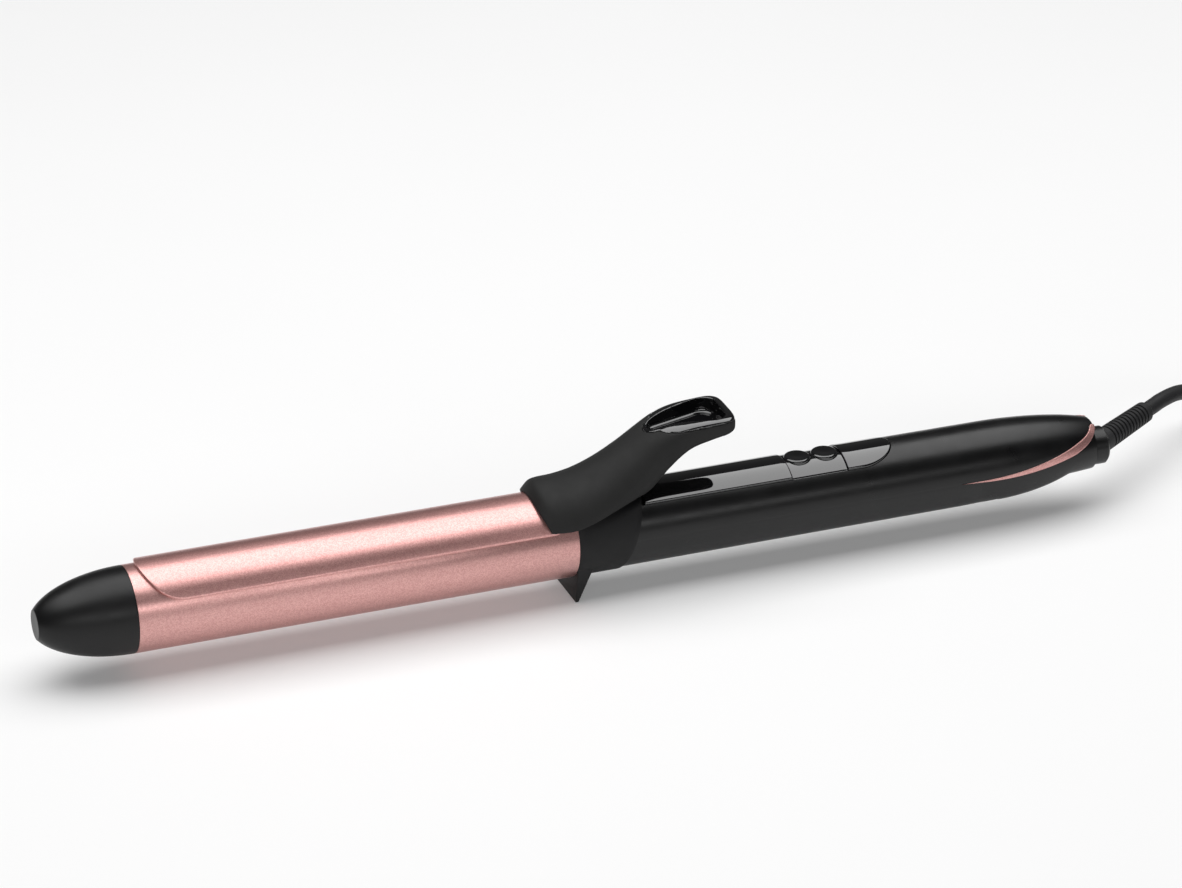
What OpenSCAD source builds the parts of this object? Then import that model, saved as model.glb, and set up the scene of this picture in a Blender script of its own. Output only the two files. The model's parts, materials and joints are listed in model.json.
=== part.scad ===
// Curling tong with a spring clamp, laid on its stand foot.
// X runs from the cool tip to the cord, Z is up, and the origin is under the middle of the wand.

/* [Barrel] */
// Outside diameter of the heated barrel
barrel_d = 32; // [31:0.5:33]
// Wall of the barrel tube
barrel_wall = 1.2; // [1:0.1:1.4]
// Length of barrel that shows between the tip and the collar
barrel_len = 166; // [150:1:180]
// Length of the cool tip
tip_len = 34; // [32:1:36]
// Radius of the flat front face of the cool tip
tip_face_r = 5.4; // [4:0.2:7]

/* [Clamp] */
// Gap between the closed clamp plate and the barrel
clamp_gap = 0.4; // [0.3:0.05:0.5]
// Sheet thickness of the clamp plate
clamp_t = 1.2; // [1:0.1:1.2]
// Half of the angle that the clamp plate wraps round the barrel
clamp_half_angle = 62; // [58:1:64]
// Length of the rounded front end of the clamp plate
clamp_nose = 15; // [12:1:18]
// Bare barrel between the tip and the clamp plate
clamp_setback = 3.6; // [3:0.2:6]

/* [Handle] */
// Outside diameter of the handle
handle_d = 31; // [30.6:0.2:31]
// Length from the front of the collar to the end of the swivel cap
handle_len = 217; // [217:1:230]
// Wall of the lower handle shell
handle_wall = 2; // [1.8:0.1:2.4]
// Width of the glossy top panel
panel_w = 20; // [19:0.5:20.5]
// Depth of the stand foot under the wand's axis
foot_depth = 23.5; // [22:0.5:26]
// Half of the width of the foot's bottom edge
foot_half_w = 10.5; // [9:0.5:12]

/* [Buttons] */
// Diameter of each button
button_d = 10.2; // [9.4:0.2:10.2]
// Distance between the two buttons
button_pitch = 10.8; // [10.8:0.1:11]
// Travel of a button
button_travel = 0.8; // [0.5:0.1:0.8]

/* [Cord] */
// Diameter of the mains cord
cord_d = 6; // [5.6:0.1:6.2]
// Angle between the strain relief and the wand's axis, seen from above
relief_angle = 33; // [30:1:34]
// Length of the strain relief
relief_len = 36; // [34:1:38]

/* [Hidden] */
$fn = 96;
eps = 0.01;

// Colours
black = "#1c1c1d";
gloss_black = "#0b0b0c";
soft_black = "#2a2a2b";
rose = "#cf9d96";
steel = "#b9bbbe";
brass = "#c9a45a";
copper = "#b87333";
mica = "#c9b68a";
ceramic = "#e8e4da";
board_green = "#1d5b38";

// Stations along the wand, from the front face of the tip
barrel_r = barrel_d / 2;
bore_r = barrel_r - barrel_wall;
collar_x = tip_len + barrel_len;
wand_len = collar_x + handle_len;
handle_r = handle_d / 2;
neck_r = bore_r - 0.2;
slant = 18;
collar_back_x = collar_x + 22.2;
tail_x = collar_x + 166;
tail_end_x = collar_x + 212;

// Heater
spreader_gap = 3.8;
spreader_x = [52, 178];
chip = [20, 18, 2.4];
chip_count = 5;
chip_pitch = 22;
electrode_t = 0.4;
sleeve_t = 0.2;

// Clamp and lever
plate_in_r = barrel_r + clamp_gap;
plate_out_r = plate_in_r + clamp_t;
plate_x = tip_len + clamp_setback;
plate_end_x = collar_x + 6;
hinge_x = collar_x + 12;
hinge_z = 18;
pin_r = 1.5;
pin_half = 11.4;
ear_r = 3;
ear_y = [4.6, 7.6];
lever_bore_r = plate_out_r + 0.05;
lever_relief = 3.45;
rivet_x = collar_x - 5;
rivet_angles = [-36, 0, 36];
rim_z = 41.2;

// Handle shells and panel
shell_in_r = handle_r - handle_wall;
panel_t = 1.65;
panel_out_r = handle_r + 0.15;
panel_in_r = panel_out_r - panel_t;
upper_in_r = panel_in_r - 2.05;
panel_gap = 0.3;
seam_gap = 0.15;
panel_x = [collar_x + 18, collar_x + 128];
middle_x = [collar_x + 85.8, collar_x + 107.8];
middle_drop = 0.5;
button_mid_x = (middle_x[0] + middle_x[1]) / 2;
button_xs = [button_mid_x - button_pitch / 2, button_mid_x + button_pitch / 2];
button_top_z = panel_out_r + 0.25;
board_z = 3.4;
board_t = 1.6;
board_x = [collar_x + 62, collar_x + 140];
board_screw_xs = [collar_x + 66, collar_x + 134];
handle_screw_xs = [collar_x + 40, collar_x + 150];
switch_top_z = 8;

// Trim band: a crescent in side view
trim_x0 = collar_x + 152;
trim_h = 4.6;
trim_proud = 0.25;
trim_t = 1.4;

// Swivel
swivel_z = -1.5;
housing_r = 7.4;
housing_x = [collar_x + 196, collar_x + 211];
shaft_r = 4.5;
cap_x = [collar_x + 211.3, wand_len];
cap_r = 7.2;
relief_x = collar_x + 214;
relief_r = [4.6, 4.1];

// Cord route on the floor, in the frame of the whole part: round numbers chosen by hand
relief_way = [cos(relief_angle), sin(relief_angle), 0];
relief_end = [relief_x - wand_len / 2, 0, foot_depth + swivel_z] + relief_len * relief_way;
lead_points = [
    relief_end + 0.3 * relief_way,
    relief_end + 6 * relief_way,
    relief_end + 12 * relief_way,
    [254, 31.3, 21], [262, 36, 18.4], [270, 40.2, 14.4], [278, 44, 10], [286, 47.6, 6.6],
    [294, 51, 4.6], [302, 53.8, 4], [310, 55.8, 4], [318, 56.8, 4]
];
tail_points = [
    [366, 57, 10], [374, 57, 10], [382, 57, 10.2], [390, 57, 10.7], [405, 53, 12],
    [416, 42, 13.4], [420, 27, 14.8], [416, 12, 16], [405, 1, 16.9], [390, -3, 17.4],
    [374, -3, 17.4], [358, -3, 17.4], [342, -3, 17.4], [326, -3, 17.4], [315, 0, 17.5],
    [307, 8, 17.8], [304, 19, 18.3], [307, 30, 19.2], [315, 38, 20.4], [325, 41, 21.2],
    [333.7, 41, 21.5]
];

// Hank: turns side by side in two layers, held by a strap
hank_mid = [358, 26];
hank_half_run = 31.5;
hank_r = 34.2;
hank_h = 12.4;
hank_z = 1;
tie_x = [343, 352];
tie_t = 0.9;

// Plug, lying on the hank
plug_at = [334, 41, 21.5];
plug_len = 36;
plug_w = 34;
plug_t = 13.6;
plug_neck_r = 4.2;
plug_body_x = 14;
pin_spacing = 19;
plug_pin_r = 2;
plug_root_r = 1.8;
plug_root_len = 8;
pin_len = 18;

// ---- helpers ----

module in_wand() translate([-wand_len / 2, 0, foot_depth]) children();

// A solid of revolution about the wand's axis from [x, r] points
module turned(points) rotate([90, 0, 90]) rotate_extrude() polygon([for (p = points) [p[1], p[0]]]);

module rod_x(x0, x1, r) translate([x0, 0, 0]) rotate([0, 90, 0]) cylinder(h = x1 - x0, r = r);

module tube_x(x0, x1, r_out, r_in) difference() {
    rod_x(x0, x1, r_out);
    rod_x(x0 - 1, x1 + 1, r_in);
}

module rod_y(y0, y1, r) translate([0, y0, 0]) rotate([-90, 0, 0]) cylinder(h = y1 - y0, r = r);

// A side-view outline in x and z, extruded across the whole wand
module side_prism(points, half = 30)
    translate([0, half, 0]) rotate([90, 0, 0]) linear_extrude(2 * half) polygon(points);

// Everything behind the slanted line where the collar meets the handle
module behind_slant(shift = 0) side_prism([
    for (z = [-40, 40]) [collar_back_x + shift + z * tan(slant), z],
    [wand_len + 40, 40], [wand_len + 40, -40]
]);

function arc(cx, cy, r, a0, a1, n) =
    [for (i = [0:n]) let (a = a0 + (a1 - a0) * i / n) [cx + r * cos(a), cy + r * sin(a)]];

// Catmull-Rom value of column c of a list of rows at position t
function spline(rows, t, c) = let (
    i = min(floor(t), len(rows) - 2),
    u = t - i,
    a = rows[max(i - 1, 0)][c],
    b = rows[i][c],
    d = rows[i + 1][c],
    e = rows[min(i + 2, len(rows) - 1)][c]
) b + 0.5 * u * (d - a + u * (2 * a - 5 * b + 4 * d - e + u * (3 * (b - d) + e - a)));

function unit(v) = v / norm(v);

function signed_pow(v, p) = sign(v) * pow(abs(v), p);

// A closed skin over rings of points; every ring has the same number of points
module skin(rings) {
    n = len(rings[0]);
    m = len(rings);
    sides = [
        for (i = [0:m - 2], j = [0:n - 1], half = [0, 1])
            let (a = i * n + j, b = i * n + (j + 1) % n)
            half == 0 ? [a, b, b + n] : [a, b + n, a + n]
    ];
    caps = [[for (j = [n - 1:-1:0]) j], [for (j = [0:n - 1]) (m - 1) * n + j]];
    polyhedron(points = [for (ring = rings) each ring], faces = concat(sides, caps));
}

// A round tube swept along a route of points
module swept(points, r, per_span, sides = 10) {
    spans = len(points) - 1;
    count = spans * per_span;
    rings = [
        for (k = [0:count]) let (
            t = k / per_span,
            p = [for (c = [0:2]) spline(points, t, c)],
            q0 = [for (c = [0:2]) spline(points, max(t - 0.02, 0), c)],
            q1 = [for (c = [0:2]) spline(points, min(t + 0.02, spans), c)],
            ahead = unit(q1 - q0),
            side = unit(cross([0, 0, 1], ahead)),
            up = cross(ahead, side)
        ) [for (s = [0:sides - 1]) let (a = -360 * s / sides) p + r * (cos(a) * side + sin(a) * up)]
    ];
    skin(rings);
}

// ---- tip and barrel ----

// Ogive of the tip: a quarter ellipse cut off at the front face
function tip_r(x) = barrel_r * sqrt(1 - pow((tip_len - x) / tip_a, 2));
tip_a = tip_len / sqrt(1 - pow(tip_face_r / barrel_r, 2));
tip_wall = 2.4;
spigot_len = 10;
spigot_r = bore_r - 0.1;
ring_x = tip_len + 5;

module cool_tip() color(black) in_wand() difference() {
    union() {
        turned(concat(
            [[0, 0], [0, tip_face_r - 0.6], [0.5, tip_face_r + 0.1]],
            [for (i = [1:14]) let (x = 0.5 + (tip_len - 0.5) * i / 14) [x, tip_r(x)]],
            [[tip_len, 0]]
        ));
        rod_x(tip_len - eps, tip_len + spigot_len, spigot_r);
    }
    turned(concat(
        [[4, 0], [4, 4]],
        [for (i = [1:8]) let (x = 4 + (tip_len - 4) * i / 8) [x, min(tip_r(x), spigot_r) - tip_wall]],
        [[tip_len + spigot_len + 1, spigot_r - tip_wall], [tip_len + spigot_len + 1, 0]]
    ));
    tube_x(ring_x, ring_x + 1.5, barrel_r, spigot_r - 1.3);
}

module tip_retaining_ring() color(steel) in_wand() difference() {
    tube_x(ring_x + 0.1, ring_x + 1.4, spigot_r + 0.05, spigot_r - 1.2);
    translate([ring_x - 1, -2, -barrel_r - 1]) cube([4, 4, 8]);
}

module mica_washer() color(mica) in_wand()
    tube_x(tip_len + spigot_len + 1, tip_len + spigot_len + 2, bore_r - 0.2, 2.5);

module barrel_tube() color(rose) in_wand() tube_x(tip_len, collar_x, barrel_r, bore_r);

module heat_spreader_upper() color(steel) in_wand() intersection() {
    rod_x(spreader_x[0], spreader_x[1], bore_r - 0.1);
    translate([0, -20, spreader_gap / 2]) cube([300, 40, 20]);
}

module heat_spreader_lower() color(steel) in_wand() difference() {
    intersection() {
        rod_x(spreader_x[0], spreader_x[1], bore_r - 0.1);
        translate([0, -20, -20 - spreader_gap / 2]) cube([300, 40, 20]);
    }
    translate([spreader_x[1] - 12, -1.6, -5.2]) cube([20, 3.2, 5]);
}

chip_x0 = (spreader_x[0] + spreader_x[1] - chip_pitch * chip_count) / 2 + 1;
strip_x = [chip_x0 - 2, chip_x0 + chip_pitch * chip_count];
strip_z = chip[2] / 2 + 0.01;

module ptc_elements() color(ceramic) in_wand() for (i = [0:chip_count - 1])
    translate([chip_x0 + i * chip_pitch, -chip[1] / 2, -chip[2] / 2]) cube(chip);

module electrode_strips() color(brass) in_wand() for (s = [-1, 1])
    translate([strip_x[0], -chip[1] / 2, s > 0 ? strip_z : -strip_z - electrode_t])
        cube([strip_x[1] - strip_x[0], chip[1], electrode_t]);

module polyimide_sleeve() color("#c07a1e") in_wand() difference() {
    h = strip_z + electrode_t + 0.02;
    w = chip[1] / 2 + 0.1;
    translate([strip_x[0] - 1, -w - sleeve_t, -h - sleeve_t])
        cube([strip_x[1] - strip_x[0] + 2, 2 * (w + sleeve_t), 2 * (h + sleeve_t)]);
    translate([strip_x[0] - 5, -w, -h]) cube([strip_x[1] - strip_x[0] + 10, 2 * w, 2 * h]);
}

module thermistor() color(ceramic) in_wand() translate([0, 0, -3.7])
    rod_x(spreader_x[1] - 10, spreader_x[1] - 4, 1.3);

module thermal_fuse() color(steel) in_wand() translate([0, 0, 6]) {
    rod_x(spreader_x[1] + 0.5, spreader_x[1] + 9, 2);
    rod_x(spreader_x[1] + 9, spreader_x[1] + 30, 0.5);
}

lead_y = 5;
module heater_leads() color("#b3372b") in_wand() for (s = [-1, 1]) translate([0, s * lead_y, 0]) {
    rod_x(strip_x[1] + 1.1, board_x[0] + 3, 0.9);
    translate([board_x[0] + 3, 0, -0.9]) cylinder(h = board_z + 0.85, r = 0.9);
}

module barrel_insulator() color(ceramic) in_wand() difference() {
    rod_x(collar_x - 12, collar_x + 14, bore_r - 0.1);
    rod_x(collar_x - 10, collar_x + 15, bore_r - 2.2);
    for (s = [-1, 1]) translate([0, s * lead_y, 0]) rod_x(collar_x - 13, collar_x - 9, 1.1);
    translate([0, 0, 6]) rod_x(collar_x - 13, collar_x - 9, 0.7);
}

// ---- collar, foot and hinge ----

foot_top = [14.6, -6.5];
// Window in the collar that the spring's coil sits in
spring_window = 9.2;
spring_window_half_w = 4.3;
module foot() intersection() {
    side_prism([
        [collar_x, -foot_depth], [collar_x + 1.4, -foot_depth],
        [collar_x + 6.4, -9], [collar_x, -9]
    ]);
    translate([collar_x - 1, 0, 0]) rotate([90, 0, 90]) linear_extrude(20) polygon([
        [-foot_half_w, -foot_depth], [foot_half_w, -foot_depth], foot_top, [-foot_top[0], foot_top[1]]
    ]);
}

module stand_collar() color(soft_black) in_wand() difference() {
    union() {
        difference() {
            rod_x(collar_x, collar_back_x + 8, barrel_r);
            behind_slant();
        }
        foot();
        for (s = [-1, 1]) translate([hinge_x, s > 0 ? ear_y[0] : -ear_y[1], 0]) {
            translate([0, 0, hinge_z]) rod_y(0, ear_y[1] - ear_y[0], ear_r);
            translate([-ear_r, 0, 12]) cube([2 * ear_r, ear_y[1] - ear_y[0], hinge_z - 12]);
        }
    }
    rod_x(collar_x - 1, collar_back_x + 20, bore_r - 0.05);
    translate([hinge_x, 0, hinge_z]) rod_y(-20, 20, pin_r + 0.03);
    translate([hinge_x - spring_window / 2, -spring_window_half_w, hinge_z - 6])
        cube([spring_window, 2 * spring_window_half_w, 10]);
}

module hinge_pin() color(steel) in_wand()
    translate([hinge_x, 0, hinge_z]) rod_y(-pin_half, pin_half, pin_r);

spring_r = 2.6;
spring_wire = 0.45;
spring_turns = 5;
module torsion_spring() color(steel) in_wand() translate([hinge_x, 0, hinge_z]) {
    steps = 12 * spring_turns;
    coil = [
        for (i = [0:steps]) let (a = -90 - 360 * i / 12)
            [spring_r * cos(a), -3.6 + 7.2 * i / steps, spring_r * sin(a)]
    ];
    front_leg = [[-5.2, -3.8, -1.7], [-3, -3.7, -2.6]];
    back_leg = [[3.4, 3.7, -2.2], [8.5, 3.8, 3.1]];
    route = concat(front_leg, coil, back_leg);
    last = len(route) - 1;
    skin([
        for (i = [0:last]) let (
            ahead = unit(route[min(i + 1, last)] - route[max(i - 1, 0)]),
            side = unit(cross([0, 1, 0.05], ahead)),
            up = cross(ahead, side)
        ) [
            for (s = [0:5]) let (a = -60 * s)
                route[i] + spring_wire * (cos(a) * side + sin(a) * up)
        ]
    ]);
}

// ---- clamp and lever ----

// Rivet holes and shanks point outward from the barrel's axis
module at_rivets() for (a = rivet_angles) translate([rivet_x, 0, 0]) rotate([a, 0, 0]) children();

module clamp_plate() color(rose) in_wand() difference() {
    intersection() {
        tube_x(plate_x, plate_end_x, plate_out_r, plate_in_r);
        rotate([90, 0, 90]) linear_extrude(wand_len) polygon(concat(
            [[0, 0]], arc(0, 0, 60, 90 - clamp_half_angle, 90 + clamp_half_angle, 2)
        ));
    }
    clamp_nose_cut();
    at_rivets() cylinder(h = 30, r = 1.25);
}

// What the rounded front end leaves off: outside a half ellipse laid round the barrel
module clamp_nose_cut() {
    half = plate_out_r * clamp_half_angle * PI / 180;
    edge = [
        for (i = [-12:12]) let (a = 90 * i / 12, s = half * sin(a) / plate_out_r * 180 / PI)
            [plate_x + clamp_nose * (1 - cos(a)), plate_out_r * sin(s)]
    ];
    far = 30;
    linear_extrude(40) polygon(concat(
        [[plate_x - 2, -far]], [[plate_x + clamp_nose, -far]], edge,
        [[plate_x + clamp_nose, far], [plate_x - 2, far]]
    ));
}

module clamp_rivets() color(steel) in_wand() at_rivets() {
    translate([0, 0, plate_in_r + 0.05]) cylinder(h = 3, r = 1.2);
    translate([0, 0, plate_in_r + 3]) cylinder(h = 1, r = 2);
}

// Stations of the lever: distance behind the collar's front, half width, top, widest height,
// bottom, roundness of the top and of the bottom, and backward lean of the front edge
lever_rows = [
    [-14.7, 15.7, 17.8, 9.2, 8.6, 2, 4, 0.55],
    [-12.4, 16.3, 21.5, 9.2, 8.6, 2, 4, 0.55],
    [-9, 16.5, 22.6, 9.2, 8.6, 2, 4, 0.35],
    [-2, 16.7, 22.9, 9.4, 8.8, 2, 4, 0.1],
    [6, 16.2, 24.4, 11.4, 10, 2, 4, 0],
    [14, 14.9, 27.8, 15.2, 11.8, 2, 4, 0],
    [22, 13.4, 32.2, 19.6, 13.8, 2.2, 4, 0],
    [29, 12.4, 36.2, 25.3, 15.8, 2.5, 4, 0],
    [37, 11.8, 39.8, 31.2, 22.6, 2.9, 3, 0],
    [45, 11.7, 41, 35, 28.9, 3.2, 2.6, 0],
    [53, 11.8, 41.4, 36.6, 31.6, 3.2, 2.6, 0],
    [59, 11.4, 41.5, 37.2, 33, 3, 2.6, 0],
    [62, 10, 41.4, 37.5, 34, 2.6, 2.4, 0],
    [63, 8.4, 40.9, 37.7, 35.4, 2.2, 2.2, 0]
];

function lever_ring(t, sides) = let (
    v = [for (c = [0:7]) spline(lever_rows, t, c)]
) [
    for (i = [0:sides - 1]) let (
        a = 360 * i / sides,
        y = v[1] * signed_pow(cos(a), 2 / (a < 180 ? v[5] : v[6])),
        z = v[3] + (a < 180 ? (v[2] - v[3]) * signed_pow(sin(a), 2 / v[5])
                            : (v[3] - v[4]) * signed_pow(sin(a), 2 / v[6]))
    ) [collar_x + v[0] + v[7] * max(0, v[2] - z) / 1.2, y, z]
];

module lever_solid() skin([for (k = [0:2 * (len(lever_rows) - 1)]) lever_ring(k / 2, 32)]);

// Hollow of the thumb rest, and the seat that it sits in
module dish(grow) hull() {
    translate([collar_x + 36, 0, 42.2]) sphere(r = 4.4 + grow, $fn = 32);
    for (s = [-1, 1]) translate([collar_x + 54.5, s * 4.4, 42.7]) sphere(r = 6 + grow, $fn = 32);
}

dish_wall = 1.5;
module above_rim(z) translate([0, -30, z]) cube([wand_len, 60, 20]);

module lever_cover() color(soft_black) in_wand() difference() {
    lever_solid();
    rod_x(tip_len, hinge_x - 4, lever_bore_r);
    turned([
        [hinge_x - 4 - eps, 0], [hinge_x - 4 - eps, lever_bore_r],
        [collar_x + 36, lever_bore_r + lever_relief], [collar_x + 36, 0]
    ]);
    translate([collar_x + 7, -8.2, 12]) cube([17, 16.4, 9.6]);
    translate([hinge_x, 0, hinge_z]) rod_y(-pin_half - 0.3, pin_half + 0.3, pin_r + 0.05);
    at_rivets() {
        cylinder(h = plate_in_r + 3.05, r = 1.25);
        translate([0, 0, plate_in_r + 2.95]) cylinder(h = 1.1, r = 2.05);
    }
    dish(dish_wall + 0.05);
    above_rim(rim_z - 0.8);
}

module thumb_dish() color(gloss_black) in_wand() difference() {
    intersection() {
        lever_solid();
        union() {
            dish(dish_wall);
            above_rim(rim_z - 0.75);
        }
        translate([collar_x + 28, -30, 30]) cube([60, 60, 30]);
    }
    dish(0);
}

// ---- handle ----

// Radius of the upper shell and of the lower tail along the wand
function upper_r(x) = x < tail_x ? handle_r - 0.3 * (x - collar_x) / (tail_x - collar_x)
    : (handle_r - 0.3) * sqrt(1 - pow((x - tail_x) / 60.5, 2));
function lower_r(x) = x < tail_x + 5 ? handle_r - 0.3 * (x - collar_x) / (tail_x - collar_x)
    : (handle_r - 0.3) * sqrt(1 - pow((x - tail_x - 5) / 35.5, 2));

function stations(x0, x1, n) = [for (i = [0:n]) x0 + (x1 - x0) * i / n];

// Profile of the outside of the upper shell, moved in by a depth
function upper_profile(depth) = concat(
    [[collar_x + 10, 0], [collar_x + 10, handle_r - depth]],
    [[tail_x, upper_r(tail_x) - depth]],
    [for (x = stations(tail_x + 3, tail_end_x - 1 - depth, 12)) [x, upper_r(x) - depth]],
    [[tail_end_x - 0.3 - depth, upper_r(tail_end_x) - 1 - depth], [tail_end_x - 0.3 - depth, 0]]
);

// Upper and lower edge of the trim band in side view
function trim_top(x) = x < collar_x + 160 ? 0 : pow(x - collar_x - 160, 2) / 260;
function trim_low(x) = let (u = (x - trim_x0) / (tail_end_x - trim_x0))
    trim_top(x) - trim_h * min(u / 0.72, 1) * (1 - 0.3 * max(0, (u - 0.8) / 0.2));

trim_xs = stations(trim_x0, tail_end_x + 2, 14);
split_z = 0;

module panel_outline(grow) {
    w = panel_w / 2 + grow;
    end_len = 14 + grow;
    cx = panel_x[1] - 14;
    translate([0, 0, 6]) linear_extrude(20) polygon(concat(
        [[panel_x[0] - grow, -w]],
        [for (i = [0:16]) let (a = -90 + 180 * i / 16)
            [cx + end_len * cos(a), w * signed_pow(sin(a), 0.85)]],
        [[panel_x[0] - grow, w]]
    ));
}

module screw_boss(x, z0, z1, r) translate([x, 0, z0]) cylinder(h = z1 - z0, r = r);

module handle_upper() color(black) in_wand() difference() {
    union() {
        difference() {
            intersection() {
                turned(upper_profile(0));
                side_prism(concat(
                    [[collar_x + 10, split_z]],
                    [for (x = trim_xs) [x, trim_top(x) + eps]],
                    [[tail_end_x + 4, 30], [collar_x + 10, 30]]
                ));
                behind_slant(0.02);
            }
            rod_x(collar_x, tail_x - 24, upper_in_r);
            turned(concat(
                [[tail_x - 25, 0], [tail_x - 25, upper_in_r], [tail_x - 20, shell_in_r]],
                [for (x = stations(tail_x, tail_end_x - 4, 8)) [x, upper_r(x) - handle_wall]],
                [[tail_end_x - 4, 0]]
            ));
        }
        difference() {
            intersection() {
                tube_x(collar_x + 15, collar_back_x + 12, neck_r, upper_in_r);
                side_prism([[0, split_z], [wand_len, split_z], [wand_len, 30], [0, 30]]);
            }
            behind_slant(0.02);
        }
        for (x = handle_screw_xs) screw_boss(x, split_z, upper_r(x) - 1, 3);
    }
    intersection() {
        panel_outline(panel_gap);
        tube_x(panel_x[0] - 2, panel_x[1] + 2, barrel_r + 2, panel_in_r - 0.05);
        behind_slant(-0.5);
    }
    translate([middle_x[0] + 0.4, -8, 5]) cube([middle_x[1] - middle_x[0] - 0.8, 16, 20]);
    for (x = handle_screw_xs) screw_boss(x, split_z - 1, 9, 1.25);
}

module handle_lower() color(black) in_wand() difference() {
    union() {
        difference() {
            intersection() {
                turned([
                    [collar_x + 10, 0], [collar_x + 10, handle_r],
                    [tail_x - 6, upper_r(tail_x - 6)], [tail_x - 6, 0]
                ]);
                side_prism(concat(
                    [[collar_x + 10, split_z - eps]],
                    [for (x = stations(trim_x0, tail_x - 6, 4)) [x, trim_low(x) - eps]],
                    [[tail_x - 6, -30], [collar_x + 10, -30]]
                ));
                behind_slant(0.02);
            }
            rod_x(collar_x, wand_len, shell_in_r);
        }
        difference() {
            intersection() {
                tube_x(collar_x + 15, collar_back_x + 12, neck_r, shell_in_r - 1);
                side_prism([[0, split_z - eps], [wand_len, split_z - eps], [wand_len, -30], [0, -30]]);
            }
            behind_slant(0.02);
        }
        for (x = board_screw_xs) screw_boss(x, -shell_in_r - 0.5, board_z - 0.02, 2.6);
        for (x = handle_screw_xs) screw_boss(x, -shell_in_r - 0.5, split_z - 0.1, 4.2);
    }
    for (x = board_screw_xs) screw_boss(x, board_z - 7, board_z + 1, 0.85);
    for (x = handle_screw_xs) {
        screw_boss(x, -20, -8, 2.9);
        screw_boss(x, -9, 1, 1.5);
    }
}

// Section of the tail: as wide as the upper shell, as deep as the lower curve
function tail_ring(x, sides) = let (
    w = upper_r(x) - 0.15,
    drop = max(lower_r(min(x, tail_x + 33)), housing_r + 0.8)
) [
    for (i = [0:sides - 1]) let (a = 360 * i / sides)
        [x, w * cos(a), sin(a) > 0 ? w * sin(a) : drop * sin(a)]
];

module tail_cap() color(black) in_wand() difference() {
    intersection() {
        skin([for (x = stations(tail_x - 6 + 0.02, tail_end_x - 1.6, 16)) tail_ring(x, 40)]);
        side_prism(concat(
            [for (x = trim_xs) [x, trim_low(x) - 0.02]],
            [[tail_end_x + 4, -30], [tail_x - 10, -30]]
        ));
    }
    turned(concat(
        [[tail_x - 8, 0], [tail_x - 8, shell_in_r]],
        [for (x = stations(tail_x - 4, housing_x[0] + 2, 6)) [x, lower_r(x) - 2.6]],
        [[housing_x[0] + 2, 0]]
    ));
    translate([0, 0, swivel_z]) rod_x(housing_x[0] - 2, wand_len + 2, housing_r + 0.03);
}

module trim_band() color(rose) in_wand() difference() {
    intersection() {
        turned(upper_profile(-trim_proud));
        side_prism(concat(
            [for (x = trim_xs) [x, trim_top(x) - 0.02]],
            [for (i = [len(trim_xs) - 1:-1:1]) [trim_xs[i], trim_low(trim_xs[i])]]
        ));
    }
    turned(upper_profile(trim_t));
    translate([0, 0, swivel_z]) rod_x(housing_x[0] - 2, wand_len + 2, housing_r + 0.1);
}

// A piece of the glossy panel between two stations, its surface lowered by a drop
module panel_piece(x0, x1, drop) intersection() {
    tube_x(x0, x1, panel_out_r - drop, panel_in_r);
    panel_outline(0);
    behind_slant(0.3);
}

module panel_front() color(gloss_black) in_wand() panel_piece(panel_x[0], middle_x[0] - seam_gap, 0);

module panel_middle() color(gloss_black) in_wand() difference() {
    panel_piece(middle_x[0], middle_x[1], middle_drop);
    for (x = button_xs) screw_boss(x, 5, 20, button_d / 2 + 0.15);
}

module panel_rear() color(gloss_black) in_wand() panel_piece(middle_x[1] + seam_gap, panel_x[1], 0);

// A domed button with a skirt, two retaining wings and a stem over its switch
module button(x) in_wand() translate([x, 0, 0]) {
    r = button_d / 2;
    dome = 1.3;
    dome_r = (r * r + dome * dome) / (2 * dome);
    base_z = button_top_z - dome;
    rotate_extrude() polygon(concat(
        [[0, 12.2], [r, 12.2]],
        arc(0, base_z + dome - dome_r, dome_r, asin((dome_r - dome) / dome_r), 90, 10)
    ));
    translate([-2, -6.8, 11.2]) cube([4, 13.6, 0.8]);
    translate([0, 0, switch_top_z + button_travel + 0.05])
        cylinder(h = 11.3 - switch_top_z - button_travel, r = 1.5);
}

module power_button() color(gloss_black) button(button_xs[0]);

module temperature_button() color(gloss_black) button(button_xs[1]);

module circuit_board() color(board_green) in_wand() difference() {
    translate([board_x[0], -9, board_z]) cube([board_x[1] - board_x[0], 18, board_t]);
    for (x = board_screw_xs) screw_boss(x, 0, 10, 1.2);
}

module tact_switches() color("#3a3a3c") in_wand() for (x = button_xs) {
    translate([x - 3, -3, board_z + board_t]) cube([6, 6, 2.2]);
    screw_boss(x, board_z + board_t + 2, switch_top_z, 1.7);
}

module triac() color("#26262a") in_wand()
    translate([collar_x + 118, -5, board_z - 4.6]) cube([10, 10, 4.58]);

module film_capacitor() color("#b08b2c") in_wand()
    translate([collar_x + 98, -5.5, board_z - 9]) cube([13, 11, 8.98]);

module microcontroller() color("#202024") in_wand()
    translate([collar_x + 80, -2, board_z - 1.52]) cube([8.6, 4, 1.5]);

module indicator_led() color("#c23b32") in_wand() for (s = [-1, 1])
    translate([button_mid_x - 0.8, s * 6 - 0.4, board_z + board_t]) cube([1.6, 0.8, 0.8]);

module board_screws() color(steel) in_wand() for (x = board_screw_xs) {
    screw_boss(x, board_z - 6.8, board_z + board_t + 0.1, 0.85);
    screw_boss(x, board_z + board_t, board_z + board_t + 1.3, 2.1);
}

module handle_screws() color(steel) in_wand() for (x = handle_screw_xs) {
    screw_boss(x, -8.1, 8.8, 1.2);
    screw_boss(x, -9.8, -8.02, 2.6);
}

// ---- swivel and cord ----

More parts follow.
